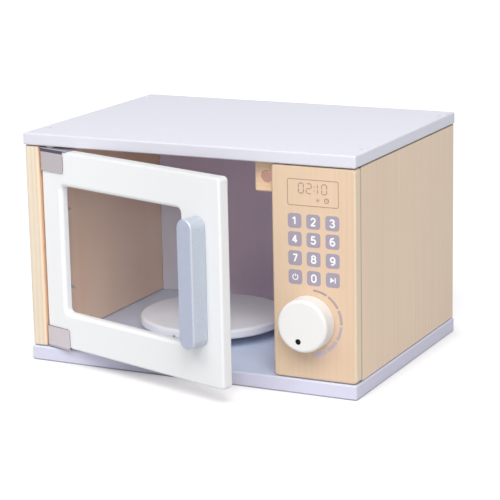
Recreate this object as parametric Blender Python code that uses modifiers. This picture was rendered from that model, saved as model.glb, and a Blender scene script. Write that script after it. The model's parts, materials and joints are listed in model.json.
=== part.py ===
"""A wooden toy microwave, in metres, +Z up, +X to the right and +Y to the back.

The origin is at the middle of the base board's underside. The door stands ajar, as at rest. Each piece is one
object; a piece that turns hangs from an empty on its joint's axis.
"""

import math

import bmesh
import bpy
from mathutils import Matrix, Vector

# Case
case_width = 0.2992
case_depth = 0.2170
case_height = 0.1950
top_thickness = 0.0100
base_thickness = 0.0120
side_thickness = 0.0128
side_end_inset = 0.0008
side_front_inset = 0.0014
side_back_inset = 0.0010
board_edge_radius = 0.0014
inner_edge_radius = 0.0006
back_panel_thickness = 0.0060
back_panel_inset = 0.0051
divider_thickness = 0.0100
divider_step = 0.0005

# Clearances and overruns
seat_gap = 0.0003
running_gap = 0.0001
cut_overrun = 0.0020
weld_distance = 0.00001

# Control panel
control_panel_width = 0.0713
control_panel_thickness = 0.0107
control_panel_edge_radius = 0.0022

# Case screws and plugs
case_screw_radius = 0.0018
case_screw_length = 0.0300
case_screw_head_radius = 0.0036
case_screw_head_height = 0.0024
case_screw_front_distance = 0.0306
case_screw_back_distance = 0.0205
plug_margin = 0.0004
plug_height = 0.0022
screw_head_top_share = 0.82
screw_head_side_share = 0.33
drive_reach_share = 0.6
drive_width = 0.0010
drive_depth = 0.0009

# Knob, about its own axis
knob_radius = 0.0213
knob_front_radius = 0.0209
knob_height = 0.0154
knob_rim_radius = 0.0026
knob_foot_radius = 0.0008
knob_left_distance = 0.0317
knob_base_distance = 0.0478
knob_dot_radius = 0.0022
knob_dot_depth = 0.0016
knob_dot_distance = 0.0129
knob_dot_angle = math.radians(-104.0)
knob_bolt_radius = 0.0030
knob_bolt_grip = 0.0095
knob_bolt_tail = 0.0020
front_washer_radius = 0.0085
front_washer_thickness = 0.0012
rear_washer_radius = 0.0075
rear_washer_thickness = 0.0010
lock_nut_width = 0.0100
lock_nut_height = 0.0052

# Door, from its free edges
door_thickness = 0.0106
door_free_gap = 0.0050
door_corner_radius = 0.0030
door_edge_radius = 0.0022
door_open_angle = math.radians(17.1)
pivot_front_distance = 0.0060
pivot_edge_distance = 0.0080
swing_gap = 0.0006

# Window in the door
window_left_stile = 0.0232
window_right_stile = 0.0436
window_bottom_rail = 0.0307
window_top_rail = 0.0295
window_corner_radius = 0.0040
pane_thickness = 0.0020
pane_border = 0.0050
point_width = 0.0040
point_thickness = 0.0006
point_sink = 0.0002
point_reach = 0.0018
point_bite = 0.0020
point_side_share = 0.19
point_rail_share = 0.146

# Handle
handle_width = 0.0162
handle_height = 0.1038
handle_depth = 0.0156
handle_edge_radius = 0.0013
handle_edge_distance = 0.0237
handle_screw_spacing = 0.0640
handle_screw_radius = 0.0016
handle_screw_grip = 0.0100
handle_screw_head_radius = 0.0034
handle_screw_head_height = 0.0020

# Hinges
clip_length = 0.0275
clip_height = 0.0165
clip_sheet = 0.0008
clip_bend_radius = 0.0028
clip_screw_radius = 0.0012
clip_screw_length = 0.0060
clip_screw_head_radius = 0.0024
clip_screw_head_height = 0.0012
clip_screw_spacing = 0.0124
pin_radius = 0.0020
pin_root = 0.0050
pin_end_gap = 0.0010
bush_wall = 0.0013
bush_length = 0.0060
bush_flange_radius = 0.0044
bush_flange_thickness = 0.0007

# Catch
catch_block_width = 0.0199
catch_block_depth = 0.0200
catch_block_height = 0.0259
catch_block_edge_radius = 0.0020
magnet_radius = 0.0048
magnet_thickness = 0.0040
magnet_recess = 0.0008
magnet_side_distance = 0.0091
magnet_base_distance = 0.0126
strike_width = 0.0100
strike_height = 0.0160
strike_thickness = 0.0010
strike_edge_distance = 0.0033
strike_screw_radius = 0.0012
strike_screw_length = 0.0065
strike_screw_head_radius = 0.0026
strike_screw_head_height = 0.0013

# Turntable
disc_radius = 0.0628
disc_thickness = 0.0083
disc_lift = 0.0079
disc_edge_radius = 0.0026
spacer_radius = 0.0180
slip_washer_radius = 0.0120
slip_washer_thickness = 0.0010
table_bolt_radius = 0.0030
table_bolt_grip = 0.0050
table_bolt_head_radius = 0.0056
table_bolt_head_height = 0.0030
table_washer_radius = 0.0078
table_washer_thickness = 0.0010
table_bolt_sink = 0.0010

# Fineness
round_steps = 64
small_steps = 20
arc_steps = 4
rounding_steps = 2

# Places that follow from the sizes
case_front = -case_depth / 2
case_back = case_depth / 2
top_underside = case_height - top_thickness
side_outer = case_width / 2 - side_end_inset
side_inner = side_outer - side_thickness
panel_front = case_front + side_front_inset
panel_back = panel_front + control_panel_thickness
panel_left = side_outer - control_panel_width
divider_left = panel_left + divider_step
sides_back = case_back - side_back_inset
back_panel_front = sides_back - back_panel_inset - back_panel_thickness
board_bottom = base_thickness + seat_gap
board_top = top_underside - seat_gap
screw_front_y = case_front + case_screw_front_distance
screw_back_y = case_back - case_screw_back_distance

knob_x = panel_left + knob_left_distance
knob_z = base_thickness + knob_base_distance

clip_reach = clip_sheet + seat_gap
bend_x = pivot_edge_distance + clip_reach - clip_bend_radius
bend_y = door_thickness / 2 + clip_reach - clip_bend_radius
swept_radius = math.hypot(bend_x, bend_y) + clip_bend_radius
pivot_x = -side_inner + swept_radius + swing_gap
pivot_y = case_front + pivot_front_distance
door_end_gap = seat_gap + bush_flange_thickness + seat_gap + clip_reach
door_left = -pivot_edge_distance
door_right = panel_left - door_free_gap - pivot_x
door_width = door_right - door_left
door_bottom = base_thickness + door_end_gap
door_top = top_underside - door_end_gap
door_height = door_top - door_bottom
door_front = -door_thickness / 2
door_back = door_thickness / 2
window_left = door_left + window_left_stile
window_right = door_right - window_right_stile
window_bottom = door_bottom + window_bottom_rail
window_top = door_top - window_top_rail
window_width = window_right - window_left
window_height = window_top - window_bottom
point_back = door_back - point_sink
point_front = point_back - point_thickness
pane_back = point_front - seat_gap
pane_front = pane_back - pane_thickness
handle_x = door_right - handle_edge_distance
handle_z = (door_bottom + door_top) / 2

catch_front = panel_back + seat_gap
catch_right = divider_left - seat_gap
catch_left = catch_right - catch_block_width
catch_bottom = board_top - catch_block_height
magnet_x = catch_right - magnet_side_distance
magnet_z = catch_bottom + magnet_base_distance

table_x = (panel_left - side_inner) / 2
table_y = (case_front + back_panel_front) / 2
disc_bottom = base_thickness + disc_lift


def clear_scene() -> None:
    """Take every object, mesh and curve out of the file."""
    for item in list(bpy.data.objects):
        bpy.data.objects.remove(item, do_unlink=True)


def new_collection(name: str) -> bpy.types.Collection:
    """Add a collection to the scene."""
    collection = bpy.data.collections.new(name)
    bpy.context.scene.collection.children.link(collection)
    return collection


def make_material(name: str, colour: tuple, roughness: float, metallic: float = 0.0) -> bpy.types.Material:
    """A plain Principled material."""
    material = bpy.data.materials.new(name)
    material.use_nodes = True
    shader = material.node_tree.nodes["Principled BSDF"]
    shader.inputs["Base Color"].default_value = (*colour, 1.0)
    shader.inputs["Roughness"].default_value = roughness
    shader.inputs["Metallic"].default_value = metallic
    return material


clear_scene()
parts = new_collection("toy_microwave")
cutters = new_collection("cutters")

lavender_paint = make_material("lavender_paint", (0.76, 0.76, 0.86), 0.45)
grey_paint = make_material("grey_paint", (0.55, 0.53, 0.60), 0.55)
natural_wood = make_material("natural_wood", (0.83, 0.66, 0.46), 0.55)
ply_wood = make_material("ply_wood", (0.78, 0.66, 0.50), 0.60)
white_paint = make_material("white_paint", (0.90, 0.90, 0.91), 0.40)
knob_paint = make_material("knob_paint", (0.90, 0.88, 0.86), 0.40)
disc_paint = make_material("disc_paint", (0.82, 0.81, 0.80), 0.50)
silver_paint = make_material("silver_paint", (0.46, 0.51, 0.62), 0.42, 0.25)
nickel = make_material("nickel", (0.62, 0.60, 0.60), 0.32, 1.0)
zinc = make_material("zinc", (0.66, 0.67, 0.69), 0.38, 1.0)
black_paint = make_material("black_paint", (0.01, 0.01, 0.01), 0.60)
clear_plastic = make_material("clear_plastic", (0.90, 0.92, 0.94), 0.05)
white_nylon = make_material("white_nylon", (0.86, 0.86, 0.84), 0.45)


def link(item: bpy.types.Object, material: bpy.types.Material, parent: bpy.types.Object) -> bpy.types.Object:
    """Put a finished piece among the parts, under its parent."""
    parts.objects.link(item)
    item.data.materials.clear()
    item.data.materials.append(material)
    item.parent = parent
    return item


def link_cutter(item: bpy.types.Object, parent: bpy.types.Object) -> bpy.types.Object:
    """Draw a cutter as wires and leave it out of renders. Its piece's cutters hold it."""
    item.display_type = "WIRE"
    item.hide_render = True
    item.parent = parent
    return item


def make_pivot(name: str, location: tuple, rotation: tuple = (0, 0, 0)) -> bpy.types.Object:
    """An empty on a joint's axis."""
    empty = bpy.data.objects.new(name, None)
    empty.location = location
    empty.rotation_euler = rotation
    parts.objects.link(empty)
    return empty


def box_mesh(name: str, low: tuple, high: tuple) -> tuple:
    """A box between two corners, centred on its own origin, and the place of its centre."""
    mesh = bpy.data.meshes.new(name)
    work = bmesh.new()
    bmesh.ops.create_cube(work, size=1)
    size = [top - bottom for bottom, top in zip(low, high)]
    bmesh.ops.scale(work, vec=size, verts=work.verts)
    work.to_mesh(mesh)
    work.free()
    return mesh, [(bottom + top) / 2 for bottom, top in zip(low, high)]


def bevel_edges(mesh: bpy.types.Mesh, radius: float, chosen) -> None:
    """Round the edges of a mesh that a test picks."""
    work = bmesh.new()
    work.from_mesh(mesh)
    edges = [edge for edge in work.edges if chosen(edge)]
    bmesh.ops.bevel(
        work,
        geom=edges,
        offset=radius,
        offset_type="OFFSET",
        segments=arc_steps,
        profile=0.5,
        affect="EDGES",
        clamp_overlap=True,
    )
    work.to_mesh(mesh)
    work.free()


def runs_along(axis: int):
    """A test for edges that run along one axis."""

    def test(edge) -> bool:
        first, second = edge.verts
        along = second.co - first.co
        return abs(along[axis]) > along.length / 2

    return test


def upright_on_left(edge) -> bool:
    """A test for edges along Z on the left of a mesh's origin."""
    return runs_along(2)(edge) and all(vert.co.x < 0 for vert in edge.verts)


def on_front(edge) -> bool:
    """A test for edges that lie in a mesh's frontmost plane."""
    front = min(vert.co.y for face in edge.link_faces for vert in face.verts)
    return all(abs(vert.co.y - front) < seat_gap for vert in edge.verts) and edge.is_manifold


def add_bevel(item: bpy.types.Object, radius: float) -> None:
    """Round every sharp edge of a piece."""
    bevel = item.modifiers.new("rounding", "BEVEL")
    bevel.width = radius
    bevel.segments = rounding_steps
    bevel.limit_method = "ANGLE"


planned_cuts: dict[str, list[bpy.types.Object]] = {}


def cut(item: bpy.types.Object, cutter: bpy.types.Object) -> None:
    """Plan to take a cutter's shape out of a piece."""
    planned_cuts.setdefault(item.name, []).append(cutter)


def make_cuts(item: bpy.types.Object) -> bpy.types.Collection:
    """Take all of a piece's planned cutters out of it with one Boolean, and return their collection."""
    group = bpy.data.collections.new(item.name + "_cutters")
    cutters.children.link(group)
    for cutter in planned_cuts.pop(item.name):
        group.objects.link(cutter)
    boolean = item.modifiers.new("cuts", "BOOLEAN")
    boolean.operation = "DIFFERENCE"
    boolean.solver = "EXACT"
    boolean.operand_type = "COLLECTION"
    boolean.collection = group
    return group


def make_board(name: str, low: tuple, high: tuple, material, radius: float, parent) -> bpy.types.Object:
    """A board between two corners with softened edges."""
    mesh, centre = box_mesh(name, low, high)
    item = bpy.data.objects.new(name, mesh)
    item.location = centre
    link(item, material, parent)
    add_bevel(item, radius)
    return item


def box_cutter(name: str, low: tuple, high: tuple, parent, radius: float = 0) -> bpy.types.Object:
    """A box to cut with, its upright edges on the left rounded if a radius is given."""
    mesh, centre = box_mesh(name, low, high)
    if radius:
        bevel_edges(mesh, radius, upright_on_left)
    item = bpy.data.objects.new(name, mesh)
    item.location = centre
    return link_cutter(item, parent)


AXIS_TURNS = {"X": (0, math.pi / 2, 0), "Y": (math.pi / 2, 0, 0), "Z": (0, 0, 0)}


def cylinder_mesh(name: str, radius: float, length: float, steps: int) -> bpy.types.Mesh:
    """A closed cylinder about Z, centred on its origin."""
    mesh = bpy.data.meshes.new(name)
    work = bmesh.new()
    bmesh.ops.create_cone(
        work,
        cap_ends=True,
        segments=steps,
        radius1=radius,
        radius2=radius,
        depth=length,
    )
    work.to_mesh(mesh)
    work.free()
    return mesh


def round_cutter(name: str, radius: float, start: tuple, length: float, axis: str, parent, steps: int = 0):
    """A cylinder to cut with, that starts at a point and runs along the positive axis."""
    item = bpy.data.objects.new(name, cylinder_mesh(name, radius, length, steps or small_steps))
    item.rotation_euler = AXIS_TURNS[axis]
    middle = Vector(start)
    middle["XYZ".index(axis)] += length / 2
    item.location = middle
    return link_cutter(item, parent)


def turned_mesh(name: str, profile: list, steps: int) -> bpy.types.Mesh:
    """A solid turned about Z from a profile of (radius, height) that runs down its outer side.

    A profile that ends where it began makes a ring.
    """
    mesh = bpy.data.meshes.new(name)
    closed = profile[0] == profile[-1]
    points = [(radius, 0, height) for radius, height in (profile[:-1] if closed else profile)]
    edges = [(index, index + 1) for index in range(len(points) - 1)]
    if closed:
        edges.append((len(points) - 1, 0))
    mesh.from_pydata(points, edges, [])
    helper = bpy.data.objects.new(name, mesh)
    bpy.context.scene.collection.objects.link(helper)
    screw = helper.modifiers.new("turning", "SCREW")
    screw.axis = "Z"
    screw.angle = math.tau
    screw.steps = steps
    screw.render_steps = steps
    screw.use_merge_vertices = True
    screw.merge_threshold = weld_distance
    depsgraph = bpy.context.evaluated_depsgraph_get()
    result = bpy.data.meshes.new_from_object(helper.evaluated_get(depsgraph))
    result.name = name
    bpy.data.objects.remove(helper, do_unlink=True)
    return result


def arc_points(centre: tuple, radius: float, start: float, end: float, steps: int) -> list:
    """Points along an arc, from one angle to another."""
    angles = [start + (end - start) * index / steps for index in range(steps + 1)]
    return [(centre[0] + radius * math.cos(angle), centre[1] + radius * math.sin(angle)) for angle in angles]


def make_turned(name: str, profile: list, location: tuple, material, parent, axis: str = "Z", steps: int = 0):
    """A turned piece with its profile's axis along Z, or along -Y for axis Y."""
    item = bpy.data.objects.new(name, turned_mesh(name, profile, steps or small_steps))
    item.location = location
    item.rotation_euler = AXIS_TURNS[axis]
    link(item, material, parent)
    item.data.shade_smooth()
    item.data.set_sharp_from_angle(angle=math.radians(35))
    return item


def outline_mesh(name: str, outlines: list, thickness: float, radius: float) -> bpy.types.Mesh:
    """A plate in the XZ plane from closed outlines, its faces' edges rounded, centred in Y."""
    curve = bpy.data.curves.new(name, "CURVE")
    curve.dimensions = "2D"
    curve.fill_mode = "BOTH"
    curve.extrude = thickness / 2 - radius
    curve.bevel_depth = radius
    curve.bevel_resolution = rounding_steps
    curve.offset = -radius
    for points in outlines:
        spline = curve.splines.new("POLY")
        spline.points.add(len(points) - 1)
        for point, (across, up) in zip(spline.points, points):
            point.co = (across, up, 0, 1)
        spline.use_cyclic_u = True
    helper = bpy.data.objects.new(name, curve)
    bpy.context.scene.collection.objects.link(helper)
    depsgraph = bpy.context.evaluated_depsgraph_get()
    mesh = bpy.data.meshes.new_from_object(helper.evaluated_get(depsgraph))
    bpy.data.objects.remove(helper, do_unlink=True)
    work = bmesh.new()
    work.from_mesh(mesh)
    bmesh.ops.remove_doubles(work, verts=work.verts, dist=weld_distance)
    for vert in work.verts:
        across, up, out = vert.co
        if abs(out) > thickness / 2 - weld_distance:
            out = math.copysign(thickness / 2, out)
        vert.co = (across, -out, up)
    work.to_mesh(mesh)
    work.free()
    mesh.name = name
    mesh.shade_smooth()
    mesh.set_sharp_from_angle(angle=math.radians(40))
    return mesh


def rounded_rectangle(width: float, height: float, radius: float, steps: int) -> list:
    """A rectangle's outline about its centre, with round corners, anticlockwise."""
    across = width / 2 - radius
    up = height / 2 - radius
    corners = [(across, -up), (across, up), (-across, up), (-across, -up)]
    points = []
    for index, corner in enumerate(corners):
        start = math.pi / 2 * (index - 1)
        points += arc_points(corner, radius, start, start + math.pi / 2, steps)
    return points


def stadium(width: float, height: float, steps: int) -> list:
    """An upright bar's outline with half-round ends."""
    radius = width / 2
    up = height / 2 - radius
    upper = arc_points((0, up), radius, 0, math.pi, steps)
    return upper + arc_points((0, -up), radius, math.pi, math.tau, steps)


def pin_profile(radius: float, height: float) -> list:
    """A plain round pin's profile, from the middle of its top end."""
    return [(0, height), (radius, height), (radius, 0), (0, 0)]


def ring_profile(outer: float, inner: float, height: float) -> list:
    """A washer's profile, closed on itself, from its inner top edge round its outer side."""
    return [(inner, height), (outer, height), (outer, 0), (inner, 0), (inner, height)]


def headed_profile(radius: float, length: float, head_radius: float, head_height: float) -> list:
    """A screw's profile, its head's top at height 0 and its tip below."""
    neck = -head_height
    return [
        (0, 0),
        (head_radius * screw_head_top_share, 0),
        (head_radius, -head_height * screw_head_side_share),
        (radius, neck),
        (radius, -length + radius),
        (0, -length),
    ]


def make_copies(name: str, mesh: bpy.types.Mesh, places: list, material, parent) -> list:
    """Alike pieces, each its own object: a mesh put at each of a list of matrices."""
    mesh.name = name
    mesh.shade_smooth()
    mesh.set_sharp_from_angle(angle=math.radians(35))
    copies = []
    for index, matrix in enumerate(places):
        item = bpy.data.objects.new(f"{name}_{index + 1}", mesh)
        link(item, material, parent)
        item.matrix_local = matrix
        copies.append(item)
    return copies


def crossed_head(mesh: bpy.types.Mesh, head_radius: float) -> bpy.types.Mesh:
    """Cut a cross drive into the head of a screw mesh whose head faces +Z at height 0."""
    helper = bpy.data.objects.new("screw", mesh)
    bpy.context.scene.collection.objects.link(helper)
    reach = head_radius * drive_reach_share
    for turn in (0, math.pi / 2):
        low = (-reach, -drive_width / 2, -drive_depth)
        high = (reach, drive_width / 2, drive_depth)
        cutter = box_cutter("drive_cutter", low, high, None)
        cutter.rotation_euler = (0, 0, turn)
        cut(helper, cutter)
    group = make_cuts(helper)
    depsgraph = bpy.context.evaluated_depsgraph_get()
    result = bpy.data.meshes.new_from_object(helper.evaluated_get(depsgraph))
    for item in [helper, *group.objects]:
        bpy.data.objects.remove(item, do_unlink=True)
    bpy.data.collections.remove(group)
    return result


def place(location: tuple, facing: str) -> Matrix:
    """A matrix that puts a mesh's +Z toward a face of the world: up, down, front or back."""
    turns = {
        "up": Matrix.Identity(4),
        "down": Matrix.Rotation(math.pi, 4, "X"),
        "front": Matrix.Rotation(math.pi / 2, 4, "X"),
        "back": Matrix.Rotation(-math.pi / 2, 4, "X"),
    }
    return Matrix.Translation(location) @ turns[facing]


# Case boards

outer_low = (-case_width / 2, case_front)
outer_high = (case_width / 2, case_back)

base_panel = make_board(
    "base_panel",
    (*outer_low, 0),
    (*outer_high, base_thickness),
    lavender_paint,
    board_edge_radius,
    None,
)
top_panel = make_board(
    "top_panel",
    (*outer_low, top_underside),
    (*outer_high, case_height),
    lavender_paint,
    board_edge_radius,
    None,
)
left_side_panel = make_board(
    "left_side_panel",
    (-side_outer, panel_front, board_bottom),
    (-side_inner, sides_back, board_top),
    natural_wood,
    board_edge_radius,
    None,
)
right_side_panel = make_board(
    "right_side_panel",
    (side_inner, panel_back + seat_gap, board_bottom),
    (side_outer, sides_back, board_top),
    ply_wood,
    inner_edge_radius,
    None,
)
make_board(
    "back_panel",
    (-side_inner + seat_gap, back_panel_front, board_bottom),
    (side_inner - seat_gap, back_panel_front + back_panel_thickness, board_top),
    grey_paint,
    inner_edge_radius,
    None,
)
divider_panel = make_board(
    "divider_panel",
    (divider_left, panel_back + seat_gap, board_bottom),
    (divider_left + divider_thickness, back_panel_front - seat_gap, board_top),
    grey_paint,
    inner_edge_radius,
    None,
)


# Control panel with its hole for the knob's bolt

panel_mesh, panel_centre = box_mesh(
    "control_panel",
    (panel_left, panel_front, board_bottom),
    (side_outer, panel_back, board_top),
)
bevel_edges(panel_mesh, control_panel_edge_radius, lambda edge: on_front(edge) or runs_along(1)(edge))
control_panel = bpy.data.objects.new("control_panel", panel_mesh)
control_panel.location = panel_centre
link(control_panel, natural_wood, None)

cut(
    control_panel,
    round_cutter(
        "knob_bolt_hole",
        knob_bolt_radius + running_gap,
        (knob_x, panel_front - cut_overrun, knob_z),
        control_panel_thickness + 2 * cut_overrun,
        "Y",
        None,
    ),
)


# Case screws and the plugs over the top ones

side_x = (side_inner + side_outer) / 2
divider_x = divider_left + divider_thickness / 2
side_screw_places = [(x, y) for x in (-side_x, side_x) for y in (screw_front_y, screw_back_y)]
divider_screw_places = [(divider_x, screw_front_y), (divider_x, screw_back_y - case_screw_back_distance)]
plug_radius = case_screw_head_radius + plug_margin
plug_pocket_depth = plug_height + seat_gap
top_head_z = case_height - plug_pocket_depth
base_head_z = plug_pocket_depth - seat_gap

case_screw_mesh = crossed_head(
    turned_mesh(
        "case_screw",
        headed_profile(case_screw_radius, case_screw_length, case_screw_head_radius, case_screw_head_height),
        small_steps,
    ),
    case_screw_head_radius,
)
make_copies(
    "top_screw",
    case_screw_mesh,
    [place((x, y, top_head_z), "up") for x, y in side_screw_places],
    zinc,
    None,
)
make_copies(
    "base_screw",
    case_screw_mesh,
    [place((x, y, base_head_z), "down") for x, y in side_screw_places + divider_screw_places],
    zinc,
    None,
)
make_copies(
    "top_plug",
    turned_mesh("plug", pin_profile(plug_radius, plug_height), small_steps),
    [place((x, y, case_height - plug_height), "up") for x, y in side_screw_places],
    lavender_paint,
    None,
)

pocket_radius = plug_radius + seat_gap
head_pocket_depth = plug_pocket_depth + case_screw_head_height + seat_gap
shank_hole_radius = case_screw_radius + seat_gap
shank_hole_length = case_screw_length + seat_gap

for x, y in side_screw_places:
    cut(
        top_panel,
        round_cutter(
            "plug_pocket",
            pocket_radius,
            (x, y, case_height - head_pocket_depth),
            head_pocket_depth + cut_overrun,
            "Z",
            None,
        ),
    )
    board = left_side_panel if x < 0 else right_side_panel
    for target in (top_panel, board):
        hole_start = (x, y, top_head_z - shank_hole_length)
        cut(target, round_cutter("shank_hole", shank_hole_radius, hole_start, shank_hole_length, "Z", None))

for x, y in side_screw_places + divider_screw_places:
    cut(
        base_panel,
        round_cutter(
            "head_pocket",
            pocket_radius,
            (x, y, -cut_overrun),
            head_pocket_depth + cut_overrun,
            "Z",
            None,
        ),
    )
    board = divider_panel
    if (x, y) in side_screw_places:
        board = left_side_panel if x < 0 else right_side_panel
    for target in (base_panel, board):
        hole_start = (x, y, base_head_z)
        cut(target, round_cutter("shank_hole", shank_hole_radius, hole_start, shank_hole_length, "Z", None))


# Knob, turning about Y on its bolt

knob_axis = make_pivot("knob_axis", (knob_x, panel_front, knob_z))
knob_foot = seat_gap
knob_face = knob_foot + knob_height
washer_pocket = front_washer_thickness + seat_gap
rim_centre = (knob_front_radius - knob_rim_radius, knob_face - knob_rim_radius)
foot_centre = (knob_radius - knob_foot_radius, knob_foot + knob_foot_radius)
knob_profile = [(0, knob_face)]
knob_profile += arc_points(rim_centre, knob_rim_radius, math.pi / 2, 0, arc_steps)
knob_profile += arc_points(foot_centre, knob_foot_radius, 0, -math.pi / 2, 2)
knob_profile += [
    (front_washer_radius + seat_gap, knob_foot),
    (front_washer_radius + seat_gap, knob_foot + washer_pocket),
    (0, knob_foot + washer_pocket),
]
knob = make_turned("knob", knob_profile, (0, 0, 0), knob_paint, knob_axis, "Y", round_steps)
bolt_end = knob_foot + washer_pocket + knob_bolt_grip
cut(
    knob,
    round_cutter(
        "knob_bolt_socket",
        knob_bolt_radius + seat_gap,
        (0, -bolt_end - seat_gap, 0),
        bolt_end + seat_gap + cut_overrun,
        "Y",
        knob_axis,
    ),
)
dot_x = knob_dot_distance * math.cos(knob_dot_angle)
dot_z = knob_dot_distance * math.sin(knob_dot_angle)
cut(
    knob,
    round_cutter(
        "knob_dot_hole",
        knob_dot_radius + seat_gap / 2,
        (dot_x, -knob_face - cut_overrun, dot_z),
        knob_dot_depth + seat_gap + cut_overrun,
        "Y",
        knob_axis,
    ),
)
make_turned(
    "knob_dot",
    pin_profile(knob_dot_radius, knob_dot_depth),
    (dot_x, knob_dot_depth - knob_face, dot_z),
    black_paint,
    knob_axis,
    "Y",
)

rear_stack = control_panel_thickness + seat_gap
nut_front = rear_stack + rear_washer_thickness + seat_gap
bolt_tail_end = nut_front + lock_nut_height + knob_bolt_tail
make_turned(
    "knob_bolt",
    [
        (0, bolt_end),
        (knob_bolt_radius, bolt_end),
        (knob_bolt_radius, -bolt_tail_end),
        (0, -bolt_tail_end),
    ],
    (0, 0, 0),
    zinc,
    knob_axis,
    "Y",
)
make_turned(
    "knob_front_washer",
    ring_profile(front_washer_radius, knob_bolt_radius + running_gap, front_washer_thickness),
    (knob_x, panel_front - seat_gap, knob_z),
    white_nylon,
    None,
    "Y",
)
make_turned(
    "knob_rear_washer",
    ring_profile(rear_washer_radius, knob_bolt_radius + seat_gap, rear_washer_thickness),
    (0, rear_stack + rear_washer_thickness, 0),
    zinc,
    knob_axis,
    "Y",
)
nut_mesh = cylinder_mesh("knob_lock_nut", lock_nut_width / math.sqrt(3), lock_nut_height, 6)
knob_lock_nut = bpy.data.objects.new("knob_lock_nut", nut_mesh)
knob_lock_nut.rotation_euler = AXIS_TURNS["Y"]
knob_lock_nut.location = (0, nut_front + lock_nut_height / 2, 0)
link(knob_lock_nut, zinc, knob_axis)
cut(
    knob_lock_nut,
    round_cutter(
        "lock_nut_bore",
        knob_bolt_radius + seat_gap,
        (0, nut_front - cut_overrun, 0),
        lock_nut_height + 2 * cut_overrun,
        "Y",
        knob_axis,
    ),
)


# Door, swinging about Z on its two pivot pins

door_axis = make_pivot("door_axis", (pivot_x, pivot_y, 0), (0, 0, -door_open_angle))
door_middle_x = (door_left + door_right) / 2
door_middle_z = (door_bottom + door_top) / 2
window_middle_x = (window_left + window_right) / 2
window_middle_z = (window_bottom + window_top) / 2
window_outline = [
    (x + window_middle_x - door_middle_x, z + window_middle_z - door_middle_z)
    for x, z in rounded_rectangle(window_width, window_height, window_corner_radius, arc_steps)
]
door_mesh = outline_mesh(
    "door_frame",
    [rounded_rectangle(door_width, door_height, door_corner_radius, arc_steps), window_outline],
    door_thickness,
    door_edge_radius,
)
door_frame = bpy.data.objects.new("door_frame", door_mesh)
door_frame.location = (door_middle_x, 0, door_middle_z)
link(door_frame, white_paint, door_axis)

rebate_low = (window_left - pane_border, pane_front - seat_gap, window_bottom - pane_border)
rebate_high = (window_right + pane_border, door_back + cut_overrun, window_top + pane_border)
cut(door_frame, box_cutter("pane_rebate", rebate_low, rebate_high, door_axis))

pane_low = (rebate_low[0] + seat_gap, pane_front, rebate_low[2] + seat_gap)
pane_high = (rebate_high[0] - seat_gap, pane_back, rebate_high[2] - seat_gap)
pane_mesh, pane_centre = box_mesh("window_pane", pane_low, pane_high)
window_pane = bpy.data.objects.new("window_pane", pane_mesh)
window_pane.location = pane_centre
link(window_pane, clear_plastic, door_axis)


# Glazing points: flat tabs pressed into the rebate's wall behind the pane, two on each side of the window

point_long = point_reach + pane_border + point_bite
point_boxes = []
for side in (-1, 1):
    for end in (-1, 1):
        up = window_middle_z + end * window_height * (0.5 - point_side_share)
        wall = window_right + pane_border if side > 0 else window_left - pane_border
        outer = wall + side * point_bite
        inner = outer - side * point_long
        low_corner = (min(outer, inner), up - point_width / 2)
        high_corner = (max(outer, inner), up + point_width / 2)
        point_boxes.append((low_corner, high_corner))
        across = window_middle_x + end * window_width * (0.5 - point_rail_share)
        wall = window_top + pane_border if side > 0 else window_bottom - pane_border
        outer = wall + side * point_bite
        inner = outer - side * point_long
        low_corner = (across - point_width / 2, min(outer, inner))
        high_corner = (across + point_width / 2, max(outer, inner))
        point_boxes.append((low_corner, high_corner))

for index, ((low_x, low_z), (high_x, high_z)) in enumerate(point_boxes):
    point_mesh, point_centre = box_mesh(
        "glazing_point",
        (low_x, point_front, low_z),
        (high_x, point_back, high_z),
    )
    glazing_point = bpy.data.objects.new(f"glazing_point_{index + 1}", point_mesh)
    glazing_point.location = point_centre
    link(glazing_point, zinc, door_axis)
    notch_low = (low_x - seat_gap, point_front - seat_gap, low_z - seat_gap)
    notch_high = (high_x + seat_gap, door_back + cut_overrun, high_z + seat_gap)
    cut(door_frame, box_cutter("point_notch", notch_low, notch_high, door_axis))


# Handle and its screws, driven from the door's back

handle_mesh = outline_mesh(
    "door_handle",
    [stadium(handle_width, handle_height, 3 * arc_steps)],
    handle_depth,
    handle_edge_radius,
)
door_handle = bpy.data.objects.new("door_handle", handle_mesh)
door_handle.location = (handle_x, door_front - seat_gap - handle_depth / 2, handle_z)
link(door_handle, silver_paint, door_axis)

handle_screw_length = door_thickness + seat_gap + handle_screw_grip
handle_screw_profile = headed_profile(
    handle_screw_radius,
    handle_screw_length,
    handle_screw_head_radius,
    handle_screw_head_height,
)
handle_screw_mesh = crossed_head(
    turned_mesh("handle_screw", handle_screw_profile, small_steps),
    handle_screw_head_radius,
)
handle_screw_heights = [handle_z + end * handle_screw_spacing / 2 for end in (-1, 1)]
make_copies(
    "handle_screw",
    handle_screw_mesh,
    [place((handle_x, door_back, z), "back") for z in handle_screw_heights],
    zinc,
    door_axis,
)
for z in handle_screw_heights:
    start = (handle_x, door_back - handle_screw_head_height - seat_gap, z)
    length = handle_screw_head_height + seat_gap + cut_overrun
    radius = handle_screw_head_radius + seat_gap
    cut(door_frame, round_cutter("handle_head_hole", radius, start, length, "Y", door_axis))
    start = (handle_x, door_back - handle_screw_length - seat_gap, z)
    length = handle_screw_length + seat_gap
    radius = handle_screw_radius + seat_gap
    for target in (door_frame, door_handle):
        cut(target, round_cutter("handle_shank_hole", radius, start, length, "Y", door_axis))


# Hinge clips, pivot pins and bushes, above and below

clip_screw_mesh = crossed_head(
    turned_mesh(
        "clip_screw",
        headed_profile(clip_screw_radius, clip_screw_length, clip_screw_head_radius, clip_screw_head_height),
        small_steps,
    ),
    clip_screw_head_radius,
)
clip_screw_places = []

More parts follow.
